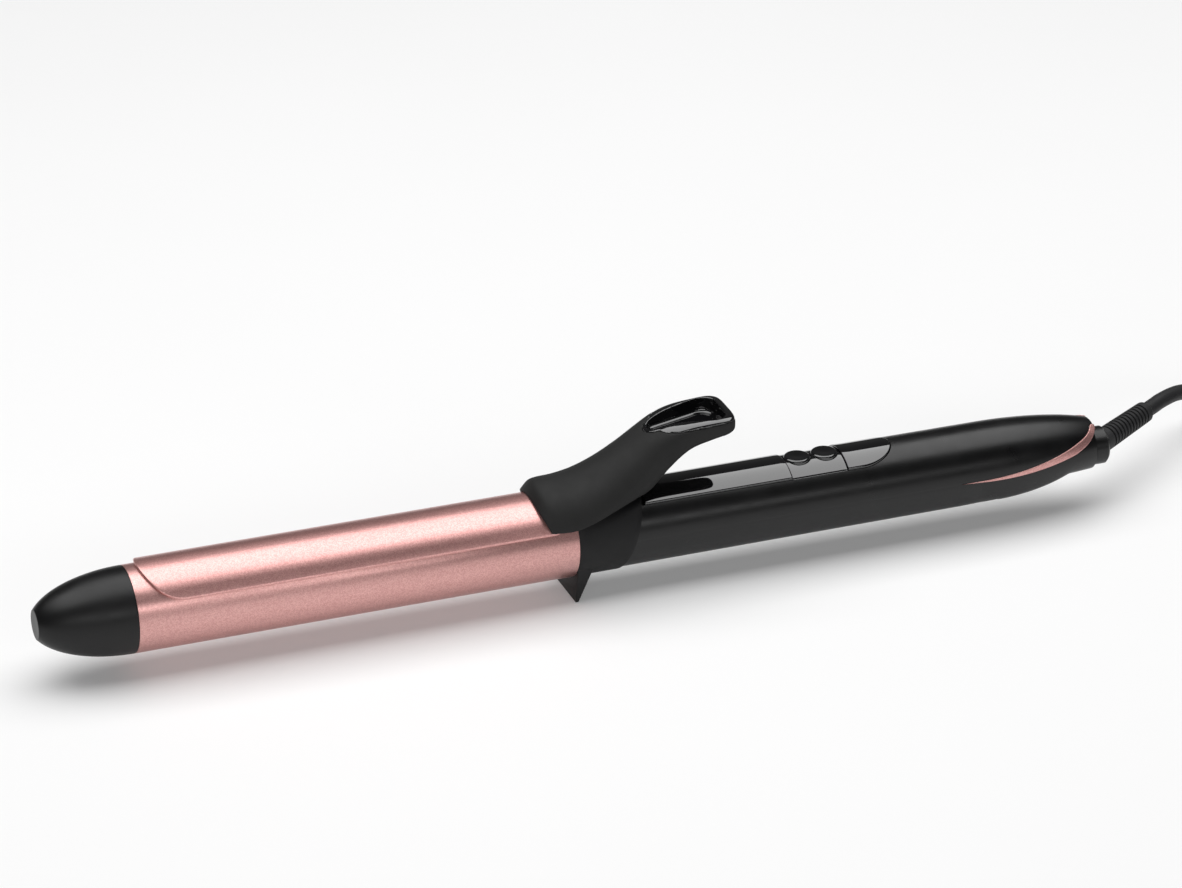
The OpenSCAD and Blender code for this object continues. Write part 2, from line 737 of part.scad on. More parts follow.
module swivel_housing() color(black) in_wand() translate([0, 0, swivel_z]) difference() {
    rod_x(housing_x[0], housing_x[1], housing_r);
    rod_x(housing_x[0] - 1, housing_x[1] - 4, 6.4);
    rod_x(housing_x[0], housing_x[1] + 1, shaft_r + 0.05);
}

ring_xs = [collar_x + 200.4, collar_x + 204];
ring_w = 2;
module swivel_core() color(soft_black) in_wand() translate([0, 0, swivel_z]) difference() {
    union() {
        rod_x(cap_x[0], cap_x[1] - 0.9, cap_r);
        translate([cap_x[1] - 0.9 - eps, 0, 0]) rotate([0, 90, 0])
            cylinder(h = 0.9 + eps, r1 = cap_r, r2 = cap_r - 0.9);
        rod_x(collar_x + 198.5, cap_x[0] + 1, shaft_r);
        rod_x(collar_x + 198, collar_x + 199.4, 5.4);
    }
    rod_x(collar_x + 197, relief_x - 1, 2.6);
    translate([relief_x, 0, 0]) rotate([0, 0, relief_angle]) rod_x(-1, 20, relief_r[0] + 0.02);
    for (x = ring_xs) tube_x(x, x + ring_w, 8, shaft_r - 0.4);
}

module slip_rings() color(brass) in_wand() translate([0, 0, swivel_z])
    for (x = ring_xs) tube_x(x + 0.02, x + ring_w - 0.02, shaft_r + 0.3, shaft_r - 0.38);

brush_angle = 43;
module swivel_brushes() color(copper) in_wand() translate([0, 0, swivel_z]) for (i = [0, 1])
    rotate([i == 0 ? brush_angle : -brush_angle, 0, 0]) translate([ring_xs[i] + 0.3, -1, shaft_r + 0.36])
        cube([1.4, 2, 1.2]);

wire_y = 3.9;
module supply_wires() color("#2c5fa8") in_wand() for (s = [-1, 1])
    translate([0, s * wire_y, board_z - 0.37]) rod_x(board_x[1] - 6, ring_xs[0] - 0.2, 0.35);

// Ribbed strain relief: a tapered sleeve with a groove every rib pitch
rib_pitch = 2.2;
rib_groove = 0.9;
rib_start = 7;
rib_depth = 0.7;
rib_count = 12;
module strain_relief() color(black) in_wand()
    translate([relief_x, 0, swivel_z]) rotate([0, 0, relief_angle]) difference() {
        turned([
            [0, 0], [0, relief_r[0]], [rib_start, relief_r[0]],
            [relief_len - 1, relief_r[1]], [relief_len, relief_r[1] - 0.6], [relief_len, 0]
        ]);
        for (i = [0:rib_count - 1]) let (x = rib_start + i * rib_pitch)
            tube_x(x, x + rib_groove, 8, relief_r[1] - rib_depth);
    }

module cord_lead() color(black) swept(lead_points, cord_d / 2, 2);

module cord_hank() color(black) translate([hank_mid[0], hank_mid[1], hank_z])
    linear_extrude(hank_h) polygon(concat(
        arc(hank_half_run, 0, hank_r, -90, 90, 16), arc(-hank_half_run, 0, hank_r, 90, 270, 16)
    ));

module cord_tie() color(gloss_black) difference() {
    translate([tie_x[0], hank_mid[1] - hank_r - tie_t, hank_z - tie_t])
        cube([tie_x[1] - tie_x[0], 2 * (hank_r + tie_t), hank_h + 2 * tie_t]);
    translate([tie_x[0] - 1, hank_mid[1] - hank_r, hank_z])
        cube([tie_x[1] - tie_x[0] + 2, 2 * hank_r, hank_h]);
}

module cord_tail() color(black) swept(tail_points, cord_d / 2, 2);

module plug_body() color(black) translate(plug_at) difference() {
    hull() {
        rod_x(0, 1, plug_neck_r, $fn = 24);
        for (s = [-1, 1]) translate([plug_body_x, s * (plug_w - plug_t) / 2, 0])
            rod_x(0, plug_len - plug_body_x, plug_t / 2, $fn = 32);
    }
    for (s = [-1, 1]) translate([0, s * pin_spacing / 2, 0])
        rod_x(plug_len - plug_root_len, plug_len + 1, plug_root_r);
}

// A thinner root held in the plug, a straight pin and a tapered end
module plug_pins() color(brass) translate(plug_at) for (s = [-1, 1])
    translate([plug_len, s * pin_spacing / 2, 0]) {
        rod_x(0.02 - plug_root_len, eps, plug_root_r);
        rod_x(0, pin_len, plug_pin_r);
        translate([pin_len, 0, 0]) rotate([0, 90, 0]) cylinder(h = 1, r1 = plug_pin_r, r2 = 1.2);
    }

cool_tip();
tip_retaining_ring();
mica_washer();
barrel_tube();
heat_spreader_upper();
heat_spreader_lower();
ptc_elements();
electrode_strips();
polyimide_sleeve();
thermistor();
thermal_fuse();
heater_leads();
barrel_insulator();
stand_collar();
hinge_pin();
torsion_spring();
clamp_plate();
clamp_rivets();
lever_cover();
thumb_dish();
handle_upper();
handle_lower();
tail_cap();
trim_band();
panel_front();
panel_middle();
panel_rear();
power_button();
temperature_button();
circuit_board();
tact_switches();
triac();
film_capacitor();
microcontroller();
indicator_led();
board_screws();
handle_screws();
swivel_housing();
swivel_brushes();
supply_wires();
swivel_core();
slip_rings();
strain_relief();
cord_lead();
cord_hank();
cord_tie();
cord_tail();
plug_body();
plug_pins();
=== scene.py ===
import json
import math

import bmesh
import bpy
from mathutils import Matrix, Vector


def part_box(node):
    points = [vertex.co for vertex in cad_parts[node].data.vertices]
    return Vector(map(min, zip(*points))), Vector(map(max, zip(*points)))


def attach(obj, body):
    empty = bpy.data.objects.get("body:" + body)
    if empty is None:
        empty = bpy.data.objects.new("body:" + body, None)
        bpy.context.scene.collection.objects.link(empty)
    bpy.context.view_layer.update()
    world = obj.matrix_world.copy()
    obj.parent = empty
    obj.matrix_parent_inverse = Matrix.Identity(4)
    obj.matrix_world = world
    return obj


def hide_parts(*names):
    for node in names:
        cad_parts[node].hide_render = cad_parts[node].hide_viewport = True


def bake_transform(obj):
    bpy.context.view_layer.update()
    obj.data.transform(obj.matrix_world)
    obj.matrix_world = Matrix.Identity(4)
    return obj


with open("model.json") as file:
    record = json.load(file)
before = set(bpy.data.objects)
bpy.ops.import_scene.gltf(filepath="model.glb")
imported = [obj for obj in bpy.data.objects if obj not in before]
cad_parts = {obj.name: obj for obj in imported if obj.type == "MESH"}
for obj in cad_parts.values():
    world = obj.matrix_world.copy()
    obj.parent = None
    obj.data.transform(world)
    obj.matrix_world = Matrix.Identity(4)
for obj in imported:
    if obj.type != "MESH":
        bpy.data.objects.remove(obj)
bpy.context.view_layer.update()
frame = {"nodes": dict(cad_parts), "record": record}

MM = 0.001

# ---- places taken from the frame ----

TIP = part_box("cool_tip")
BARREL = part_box("barrel_tube")
TIP_X = TIP[0].x
AXIS_Z = (BARREL[0].z + BARREL[1].z) / 2
BARREL_R = (BARREL[1].z - BARREL[0].z) / 2 / MM
TIP_LEN = (BARREL[0].x - TIP_X) / MM
COLLAR_X = (BARREL[1].x - TIP_X) / MM
FLOOR_Z = min(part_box(name)[0].z for name in ("stand_collar", "cord_tie"))


def at(x, y, z):
    """A point of the wand, in mm from the tip's face and from the axis, in the row frame."""
    return Vector((TIP_X + x * MM, y * MM, AXIS_Z + z * MM))


def linked(name, data):
    """A new object of the data, in the scene."""
    thing = bpy.data.objects.new(name, data)
    bpy.context.scene.collection.objects.link(thing)
    return thing


def evaluated(thing):
    """The thing's mesh with its modifiers applied."""
    graph = bpy.context.evaluated_depsgraph_get()
    return bpy.data.meshes.new_from_object(thing.evaluated_get(graph))


# ---- camera ----

CAMERA_AT = Vector((-0.6070, -1.6191, 0.9206))
CAMERA_AIM = Vector((0.0016, 0.0, 0.0582))
CAMERA_LENS = 162.15
CAMERA_SENSOR = 36
CAMERA_FAR = 20


def make_camera():
    data = bpy.data.cameras.new("camera")
    data.lens = CAMERA_LENS
    data.sensor_width = CAMERA_SENSOR
    data.clip_end = CAMERA_FAR
    camera = linked("camera", data)
    camera.location = CAMERA_AT
    camera.rotation_euler = (CAMERA_AIM - CAMERA_AT).to_track_quat("-Z", "Y").to_euler()
    bpy.context.scene.camera = camera


# ---- materials ----


def new_material(name, base, roughness, metallic=0.0, **sockets):
    material = bpy.data.materials.new(name)
    material.use_nodes = True
    shader = material.node_tree.nodes["Principled BSDF"]
    shader.inputs["Base Color"].default_value = (*base, 1)
    shader.inputs["Roughness"].default_value = roughness
    shader.inputs["Metallic"].default_value = metallic
    for socket, value in sockets.items():
        shader.inputs[socket.replace("_", " ")].default_value = value
    return material, material.node_tree, shader


def noise_of(tree, scale, stretch=(1, 1, 1), detail=4.0):
    """Noise in the object's own metres, drawn out along an axis by a small stretch."""
    links, nodes = tree.links, tree.nodes
    place = nodes.new("ShaderNodeTexCoord")
    mapping = nodes.new("ShaderNodeMapping")
    mapping.inputs["Scale"].default_value = stretch
    noise = nodes.new("ShaderNodeTexNoise")
    noise.inputs["Scale"].default_value = scale
    noise.inputs["Detail"].default_value = detail
    links.new(place.outputs["Object"], mapping.inputs["Vector"])
    links.new(mapping.outputs["Vector"], noise.inputs["Vector"])
    return noise.outputs["Fac"]


def spread(tree, value, low, high, source=(0.3, 0.7)):
    """The value's usual range, mapped to low and high."""
    node = tree.nodes.new("ShaderNodeMapRange")
    node.inputs["From Min"].default_value = source[0]
    node.inputs["From Max"].default_value = source[1]
    node.inputs["To Min"].default_value = low
    node.inputs["To Max"].default_value = high
    tree.links.new(value, node.inputs["Value"])
    return node.outputs["Result"]


def two_tone(tree, value, dark, light, edges=(0.3, 0.7)):
    ramp = tree.nodes.new("ShaderNodeValToRGB")
    first, last = ramp.color_ramp.elements
    first.position, last.position = edges
    first.color, last.color = (*dark, 1), (*light, 1)
    tree.links.new(value, ramp.inputs["Fac"])
    return ramp.outputs["Color"]


def worn(tree, color, lighter, amount):
    """The colour with its sharp edges rubbed towards a lighter one."""
    geometry = tree.nodes.new("ShaderNodeNewGeometry")
    edge = spread(tree, geometry.outputs["Pointiness"], 0.0, amount, (0.52, 0.62))
    mix = tree.nodes.new("ShaderNodeMix")
    mix.data_type = "RGBA"
    tree.links.new(edge, mix.inputs["Factor"])
    tree.links.new(color, mix.inputs["A"])
    mix.inputs["B"].default_value = (*lighter, 1)
    return mix.outputs["Result"]


def bumped(tree, shader, value, distance, strength=1.0):
    bump = tree.nodes.new("ShaderNodeBump")
    bump.inputs["Distance"].default_value = distance
    bump.inputs["Strength"].default_value = strength
    tree.links.new(value, bump.inputs["Height"])
    tree.links.new(bump.outputs["Normal"], shader.inputs["Normal"])


def surface(
    name, base, roughness, metallic=0.0, vary=0.12, rough_vary=0.08, grain=3000, depth=4e-6,
    patch=45, stretch=(1, 1, 1), wear=0.25, **sockets
):
    """A finish with uneven tone, uneven gloss, a fine grain and rubbed edges."""
    material, tree, shader = new_material(name, base, roughness, metallic, **sockets)
    tone = noise_of(tree, patch, stretch)
    dark = [c * (1 - vary) for c in base]
    light = [min(c * (1 + vary), 1) for c in base]
    rubbed = [min(c * 1.6 + 0.02, 1) for c in base]
    color = worn(tree, two_tone(tree, tone, dark, light), rubbed, wear)
    tree.links.new(color, shader.inputs["Base Color"])
    gloss = spread(tree, noise_of(tree, patch * 3, stretch), roughness, roughness + rough_vary)
    tree.links.new(gloss, shader.inputs["Roughness"])
    bumped(tree, shader, noise_of(tree, grain, stretch, 2.0), depth)
    return material


def rose_gold():
    """Metallic paint: fine flakes that catch the light, over a slightly drawn-out ground."""
    base = (0.65, 0.325, 0.305)
    material, tree, shader = new_material("rose_gold", base, 0.34, 0.82, Coat_Weight=0.25)
    shader.inputs["Coat Roughness"].default_value = 0.28
    flakes = tree.nodes.new("ShaderNodeTexVoronoi")
    flakes.inputs["Scale"].default_value = 3200
    place = tree.nodes.new("ShaderNodeTexCoord")
    tree.links.new(place.outputs["Object"], flakes.inputs["Vector"])
    glint = tree.nodes.new("ShaderNodeSeparateColor")
    tree.links.new(flakes.outputs["Color"], glint.inputs["Color"])
    flake_color = two_tone(
        tree, glint.outputs["Red"], (0.59, 0.29, 0.272), (0.75, 0.42, 0.395), (0.2, 0.98)
    )
    tree.links.new(worn(tree, flake_color, (0.82, 0.62, 0.56), 0.3), shader.inputs["Base Color"])
    drawn = noise_of(tree, 260, (0.06, 1, 1))
    tree.links.new(spread(tree, drawn, 0.30, 0.38), shader.inputs["Roughness"])
    bumped(tree, shader, glint.outputs["Green"], 3e-6, 0.5)
    return material


def make_materials():
    made = {"rose_gold": rose_gold()}
    black_ones = {
        # Slot: base, roughness, grain per metre, grain depth, tone variation, specular level
        "tip_plastic": ((0.002, 0.002, 0.0022), 0.36, 5200, 5e-6, 0.2, 0.36),
        "collar_plastic": ((0.004, 0.004, 0.0045), 0.50, 4200, 6e-6, 0.2, 0.3),
        "soft_touch": ((0.009, 0.009, 0.0088), 0.66, 6500, 5e-6, 0.12, 0.36),
        "handle_plastic": ((0.002, 0.002, 0.0022), 0.27, 5200, 4e-6, 0.2, 0.42),
        "relief_rubber": ((0.014, 0.014, 0.015), 0.60, 3800, 8e-6, 0.2, 0.45),
        "cord_rubber": ((0.012, 0.012, 0.013), 0.52, 2600, 8e-6, 0.25, 0.45),
        "tie_plastic": ((0.012, 0.012, 0.012), 0.85, 1500, 6e-5, 0.4, 0.3),
        "plug_plastic": ((0.012, 0.012, 0.013), 0.40, 4200, 6e-6, 0.2, 0.5),
        "component_black": ((0.02, 0.02, 0.022), 0.55, 4000, 6e-6, 0.2, 0.5),
    }
    for slot, (base, rough, grain, depth, vary, specular) in black_ones.items():
        made[slot] = surface(
            slot, base, rough, grain=grain, depth=depth, vary=vary, Specular_IOR_Level=specular
        )
    made["gloss_black"] = surface(
        "gloss_black", (0.0035, 0.0035, 0.004), 0.035, rough_vary=0.03, grain=900, depth=2e-7,
        vary=0.2, wear=0.1, Coat_Weight=1, Coat_Roughness=0.02, Specular_IOR_Level=0.6
    )
    along = (0.04, 1, 1)
    made["spring_steel"] = surface("spring_steel", (0.56, 0.56, 0.58), 0.3, 1, stretch=along)
    made["zinc_steel"] = surface("zinc_steel", (0.56, 0.57, 0.60), 0.36, 1, patch=300)
    made["heat_spreader"] = surface("heat_spreader", (0.74, 0.74, 0.75), 0.4, 1, stretch=along)
    made["brass"] = surface("brass", (0.70, 0.50, 0.22), 0.3, 1, stretch=along)
    made["copper"] = surface("copper", (0.72, 0.34, 0.18), 0.32, 1, stretch=along)
    made["pin_brass"] = surface("pin_brass", (0.70, 0.62, 0.48), 0.22, 1, stretch=along)
    made["mica"] = surface("mica", (0.55, 0.45, 0.26), 0.5, vary=0.3, patch=600)
    made["heater_ceramic"] = surface("heater_ceramic", (0.78, 0.76, 0.70), 0.62, patch=400)
    made["insulator"] = surface("insulator", (0.74, 0.71, 0.64), 0.6, patch=300)
    made["polyimide"] = surface("polyimide", (0.50, 0.21, 0.025), 0.22, vary=0.2)
    made["lead_red"] = surface("lead_red", (0.42, 0.035, 0.025), 0.45)
    made["lead_blue"] = surface("lead_blue", (0.025, 0.11, 0.38), 0.45)
    made["board"] = surface("board", (0.025, 0.14, 0.06), 0.35, vary=0.25, patch=500)
    made["capacitor_yellow"] = surface("capacitor_yellow", (0.56, 0.38, 0.045), 0.28)
    made["led_red"] = surface("led_red", (0.55, 0.05, 0.035), 0.15, Transmission_Weight=0.4)
    return made


def dress_cad_nodes(made):
    slot_of = {s["node"]: s["material_slot"] for s in frame["record"]["subparts"]}
    for name, node in frame["nodes"].items():
        node.data.materials.clear()
        node.data.materials.append(made[slot_of[name]])


# ---- mesh helpers ----


def piece_from(mesh_data, name, slot, body, replaced):
    piece = linked(name, mesh_data)
    mesh_data.materials.append(MADE[slot])
    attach(piece, body)
    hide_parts(*replaced)
    return piece


def grid_mesh(name, rows, around=False, caps=(False, False)):
    """Quads over rows of points; around closes each row on itself, caps closes either end."""
    mesh = bpy.data.meshes.new(name)
    shape = bmesh.new()
    made_rows = [[shape.verts.new(p) for p in row] for row in rows]
    wide = len(rows[0])
    for i in range(len(rows) - 1):
        for j in range(wide if around else wide - 1):
            k = (j + 1) % wide
            shape.faces.new(
                (made_rows[i][j], made_rows[i][k], made_rows[i + 1][k], made_rows[i + 1][j])
            )
    if caps[0]:
        shape.faces.new(made_rows[0][::-1])
    if caps[1]:
        shape.faces.new(made_rows[-1])
    bmesh.ops.remove_doubles(shape, verts=shape.verts, dist=2e-6)
    bmesh.ops.recalc_face_normals(shape, faces=shape.faces)
    shape.to_mesh(mesh)
    shape.free()
    return mesh


def smooth(mesh, angle=35):
    mesh.shade_smooth()
    mesh.set_sharp_from_angle(angle=math.radians(angle))


def revolved(name, profile, sides=128, z=0.0):
    """A surface of revolution about the wand's axis from (x, radius) points."""
    rows = [
        [
            at(x, r * math.cos(2 * math.pi * k / sides), z + r * math.sin(2 * math.pi * k / sides))
            for k in range(sides)
        ]
        for x, r in profile
    ]
    return grid_mesh(name, rows, around=True)


def curve_value(rows, t, column):
    """Catmull-Rom value of one column of a table of rows at position t."""
    i = min(int(t), len(rows) - 2)
    u = t - i
    a, b = rows[max(i - 1, 0)][column], rows[i][column]
    c, d = rows[i + 1][column], rows[min(i + 2, len(rows) - 1)][column]
    return b + 0.5 * u * (c - a + u * (2 * a - 5 * b + 4 * c - d + u * (3 * (b - c) + d - a)))


def closed(profile):
    return list(profile) + [profile[0]]


def joined(name, meshes):
    """One mesh of several, each kept as it is."""
    shape = bmesh.new()
    for mesh in meshes:
        shape.from_mesh(mesh)
        bpy.data.meshes.remove(mesh)
    whole = bpy.data.meshes.new(name)
    shape.to_mesh(whole)
    shape.free()
    return whole


def carved(name, mesh, cuts, voxel=0.0, rounds=0):
    """The mesh after boolean cuts, then remeshed and relaxed where its edges are soft."""
    keep = [linked(name, mesh)]
    for kind, cutter in cuts:
        tool = linked("tool", cutter)
        keep.append(tool)
        cut = keep[0].modifiers.new(kind, "BOOLEAN")
        cut.operation, cut.solver, cut.object = kind, "EXACT", tool
    if voxel:
        remesh = keep[0].modifiers.new("remesh", "REMESH")
        remesh.mode, remesh.voxel_size = "VOXEL", voxel * MM
        relax = keep[0].modifiers.new("relax", "SMOOTH")
        relax.factor, relax.iterations = 0.5, rounds
    result = evaluated(keep[0])
    result.name = name
    for thing in keep:
        data = thing.data
        bpy.data.objects.remove(thing)
        bpy.data.meshes.remove(data)
    return result


def rounding(size, steps=4):
    """Insets and depths of a rounded edge, from the face down to the side."""
    angles = [math.pi / 2 * k / steps for k in range(steps + 1)]
    return [(size * (1 - math.sin(a)), size * (1 - math.cos(a))) for a in angles]


def sheet_rings(outline, profile, columns, place, front=False, back=False):
    """Closed rings over a curved sheet. The outline is (x, half width) from end to end, the
    profile is (inset, height) from the outer face to the inner one, and place puts down
    (x, sideways, height). Straight ends take the profile's rounding too."""
    rings = []

    def ring(x, half, inward, first=0):
        side = []
        for k in range(len(profile)):
            inset, height = profile[max(k, first)]
            side.append((x + inset * inward[0], max(half + inset * inward[1], 0), height))
        (xa, wa, ha), (xb, wb, hb) = side[0], side[-1]
        top = [place(xa, wa * (2 * c / columns - 1), ha) for c in range(columns + 1)]
        under = [place(xb, wb * (1 - 2 * c / columns), hb) for c in range(1, columns + 1)]
        right = [place(*p) for p in side[1:]]
        left = [place(px, -pw, ph) for px, pw, ph in side[-2:0:-1]]
        rings.append(top + right + under + left)

    last = len(outline) - 1
    corner = [k for k, point in enumerate(profile) if point[0] == 0][0]
    if front:
        for k in range(corner, 0, -1):
            ring(outline[0][0] + profile[k][0], outline[0][1], (0, -1), k)
    for i, (x, half) in enumerate(outline):
        x0, w0 = outline[max(i - 1, 0)]
        x1, w1 = outline[min(i + 1, last)]
        long = math.hypot(x1 - x0, w1 - w0)
        inward = ((w1 - w0) / long, -(x1 - x0) / long)
        if i == 0 and half == 0:
            inward = (1, 0)
        if i == last and half == 0:
            inward = (-1, 0)
        if front and i == 0:
            x += profile[0][0]
        if back and i == last:
            x -= profile[0][0]
        ring(x, half, inward)
    if back:
        for k in range(1, corner + 1):
            ring(outline[-1][0] - profile[k][0], outline[-1][1], (0, -1), k)
    return rings


def steps(start, end, count):
    return [start + (end - start) * k / count for k in range(count + 1)]


# ---- tip, barrel and clamp plate ----

BARREL_T = 1.2
BORE_R = BARREL_R - BARREL_T
# The tip has a flat round face and a flank along an ellipse, whose half length is TIP_A
FACE_R = 5.4
TIP_A = TIP_LEN / math.sqrt(1 - (FACE_R / BARREL_R) ** 2)
TIP_T = 2.6
SPIGOT_LEN = 10
SPIGOT_R = BORE_R - 0.1
SPIGOT_BORE_R = BORE_R - 2.5


def tip_radius(x):
    return BARREL_R * math.sqrt(1 - ((TIP_LEN - x) / TIP_A) ** 2)


def make_tip():
    edge = 0.7
    face = [(0, 0), (0, FACE_R - 0.8)] + [
        (edge * (1 - math.cos(a)), FACE_R - 0.2 + edge * math.sin(a))
        for a in (math.radians(d) for d in (0, 15, 30, 45, 60))
    ]
    flank = [(x, tip_radius(x)) for x in steps(0.6, TIP_LEN - 0.35, 60)]
    seam = [(TIP_LEN - 0.1, BARREL_R - 0.06), (TIP_LEN, BARREL_R - 0.25), (TIP_LEN, SPIGOT_R)]
    spigot = [
        (TIP_LEN + SPIGOT_LEN, SPIGOT_R), (TIP_LEN + SPIGOT_LEN, SPIGOT_BORE_R),
        (TIP_LEN, SPIGOT_BORE_R),
    ]
    inside = [(x, tip_radius(x) - TIP_T) for x in steps(TIP_LEN - 8, 4.5, 8)] + [(4, 4), (4, 0)]
    mesh = revolved("tip_shell", face + flank + seam + spigot + inside, 160)
    smooth(mesh, 30)
    piece_from(mesh, "tip_shell", "tip_plastic", "root", ("cool_tip",))


def make_barrel():
    x0, x1, r = TIP_LEN, COLLAR_X, BARREL_R
    profile = [
        (x0, BORE_R), (x0, r - 0.2), (x0 + 0.06, r - 0.06), (x0 + 0.2, r),
        (x1 - 0.2, r), (x1 - 0.06, r - 0.06), (x1, r - 0.2), (x1, BORE_R),
    ]
    mesh = revolved("barrel_skin", closed(profile), 256)
    smooth(mesh, 30)
    piece_from(mesh, "barrel_skin", "rose_gold", "root", ("barrel_tube",))


PLATE_IN_R = BARREL_R + 0.4
PLATE_T = 1.2
PLATE_X = TIP_LEN + 3.6
PLATE_NOSE = 15
PLATE_ANGLE = math.radians(62)
PLATE_EDGE = 0.45
# Under the lever the sheet narrows by a share of its width over a length that starts ahead
# of the collar, and it ends past the collar's front
PLATE_NARROWING = 0.39
NARROWING_AHEAD = 7.5
NARROWING_LEN = 13.5
PLATE_PAST = 6


def make_clamp_plate():
    """The sheet that presses the hair, with a rounded nose and a rolled edge."""
    across = (PLATE_IN_R + PLATE_T) * PLATE_ANGLE
    nose = [
        (PLATE_X + PLATE_NOSE * (1 - math.cos(a)), across * math.sin(a))
        for a in (math.radians(d) for d in (0, 1, 2, 4, 7, 10, *range(14, 91, 4)))
    ]
    outline = nose + [
        (x, across * (
            1 - PLATE_NARROWING * max(0, (x - COLLAR_X + NARROWING_AHEAD) / NARROWING_LEN)
        ))
        for x in steps(PLATE_X + PLATE_NOSE + 3, COLLAR_X + PLATE_PAST, 60)
    ]
    edge = rounding(PLATE_EDGE)
    profile = [(inset, PLATE_T - deep) for inset, deep in edge]
    profile += [(inset, deep) for inset, deep in edge[::-1]]

    def place(x, sideways, height):
        angle = sideways / (PLATE_IN_R + PLATE_T)
        r = PLATE_IN_R + height
        return at(x, r * math.sin(angle), r * math.cos(angle))

    mesh = grid_mesh("clamp_sheet", sheet_rings(outline, profile, 72, place), True, (False, True))
    smooth(mesh, 40)
    piece_from(mesh, "clamp_sheet", "rose_gold", "clamp", ("clamp_plate",))


# ---- collar and foot ----

SLANT = math.tan(math.radians(18))
COLLAR_BACK = COLLAR_X + 22.2
FOOT_FRONT = 0.1
# Half width, rear face and height of the foot's edge on the table, and of its root
FOOT = ((10.5, 1.4, -23.5), (13.2, 6.5, -8.5))
# Front, rear and height of a hinge ear's layers, and where the two ears begin sideways
EAR = ((9, 15, 12), (9, 15, 18), (10.5, 13.5, 20.6))
EAR_T = 3
EAR_Y = (4.6, -7.6)


def make_collar():
    """The collar with its slanted rear edge, the wedge foot and the two hinge ears."""
    sides = 192
    rows = []
    inner = BORE_R - 0.05
    # Share of the collar's length, shift from there, radius
    profile = [(0, 0, inner), (0, 0, 15.7), (0, 0.1, 15.9), (0, 0.3, BARREL_R)]
    profile += [(share, 0.2, BARREL_R) for share in steps(0.1, 0.9, 8)]
    profile += [(1, -0.3, BARREL_R), (1, -0.1, 15.9), (1, 0, 15.7), (1, 0, inner), (0, 0, inner)]
    for share, shift, r in profile:
        row = []
        for k in range(sides):
            y = r * math.cos(2 * math.pi * k / sides)
            z = r * math.sin(2 * math.pi * k / sides)
            rear = COLLAR_BACK + SLANT * z
            row.append(at(COLLAR_X + shift + (rear - COLLAR_X) * share, y, z))
        rows.append(row)
    ring = grid_mesh("ring", rows, around=True)
    x = COLLAR_X
    foot = bevelled_block([
        [(x + FOOT_FRONT, half, z), (x + back, half, z), (x + back, -half, z),
         (x + FOOT_FRONT, -half, z)] for half, back, z in FOOT
    ], 0.3)
    ears = [
        bevelled_block([
            [(x + fore, y, z), (x + aft, y, z), (x + aft, y + EAR_T, z), (x + fore, y + EAR_T, z)]
            for fore, aft, z in EAR
        ], 0.25) for y in EAR_Y
    ]
    mesh = joined("collar", [ring, foot] + ears)
    smooth(mesh, 30)
    piece_from(mesh, "collar", "collar_plastic", "root", ("stand_collar",))


def bevelled_block(layers, width):
    """A block lofted through its layers, with rounded edges."""
    mesh = grid_mesh("block", [[at(*p) for p in layer] for layer in layers], True, (True, True))
    shape = bmesh.new()
    shape.from_mesh(mesh)
    sharp = [e for e in shape.edges if e.calc_face_angle(0) > 0.3]
    bmesh.ops.bevel(
        shape, geom=sharp, offset=width * MM, segments=3, profile=0.5, affect="EDGES",
        clamp_overlap=True
    )
    shape.to_mesh(mesh)
    shape.free()
    return mesh


# ---- lever ----

# Distance behind the collar's front, half width, top, widest height, bottom, roundness of the
# top and of the bottom, and backward lean of the front edge
LEVER = [
    (-14.7, 15.7, 17.8, 9.2, 8.6, 2, 4, 0.55), (-12.4, 16.3, 21.5, 9.2, 8.6, 2, 4, 0.55),
    (-9, 16.5, 22.6, 9.2, 8.6, 2, 4, 0.35), (-2, 16.7, 22.9, 9.4, 8.8, 2, 4, 0.1),
    (6, 16.2, 24.4, 11.4, 10, 2, 4, 0), (14, 14.9, 27.8, 15.2, 11.8, 2, 4, 0),
    (22, 13.4, 32.2, 19.6, 13.8, 2.2, 4, 0), (29, 12.4, 36.2, 25.3, 15.8, 2.5, 4, 0),
    (37, 11.8, 39.8, 31.2, 22.6, 3.4, 3, 0), (45, 11.7, 41, 35, 28.9, 5.4, 2.6, 0),
    (53, 11.8, 41.4, 36.6, 31.6, 6, 2.6, 0), (59, 11.8, 41.5, 37.2, 33, 6, 2.6, 0),
    (62, 10.6, 41.4, 37.5, 34, 5, 2.4, 0), (63, 8.8, 41.2, 37.7, 35.4, 4, 2.2, 0),
]
LEVER_BORE_R = PLATE_IN_R + PLATE_T + 0.05
# From the hinge back the lever's bore widens, to stay clear of the handle when it comes down
BORE_END = COLLAR_X + 36
BORE_WIDENING = 3.45
HINGE_X = COLLAR_X + 12
# Room in the lever for the hinge's ears and the spring
POCKET_X = (COLLAR_X + 7, COLLAR_X + 24)
POCKET_HALF = 8.2
POCKET_Z = (12, 21.6)
# Height of the thumb rest's floor
DISH_Z = 35.4
# Its hollow is drawn round three discs: place behind the collar's front, place sideways,
# radius. Its wall goes down to the floor through these insets and heights.
DISH_DISCS = ((36, 0, 4.2), (55.4, -4.6, 5), (55.4, 4.6, 5))
DISH_WALL = ((0, 47), (0, DISH_Z + 1.3), (0.4, DISH_Z + 0.4), (1.3, DISH_Z))
# How far the bowl reaches out past its hollow, and the seat for it in the grip
CUP_T = 1.4
SEAT_T = 1.45
# The grip's flat rim from the side, and how far the bowl stands above it
RIM_LINE = [(COLLAR_X + 24, 37.6), (COLLAR_X + 70, 40.5)]
RIM_LIFT = 0.12


def signed_pow(value, power):
    return math.copysign(abs(value) ** power, value)


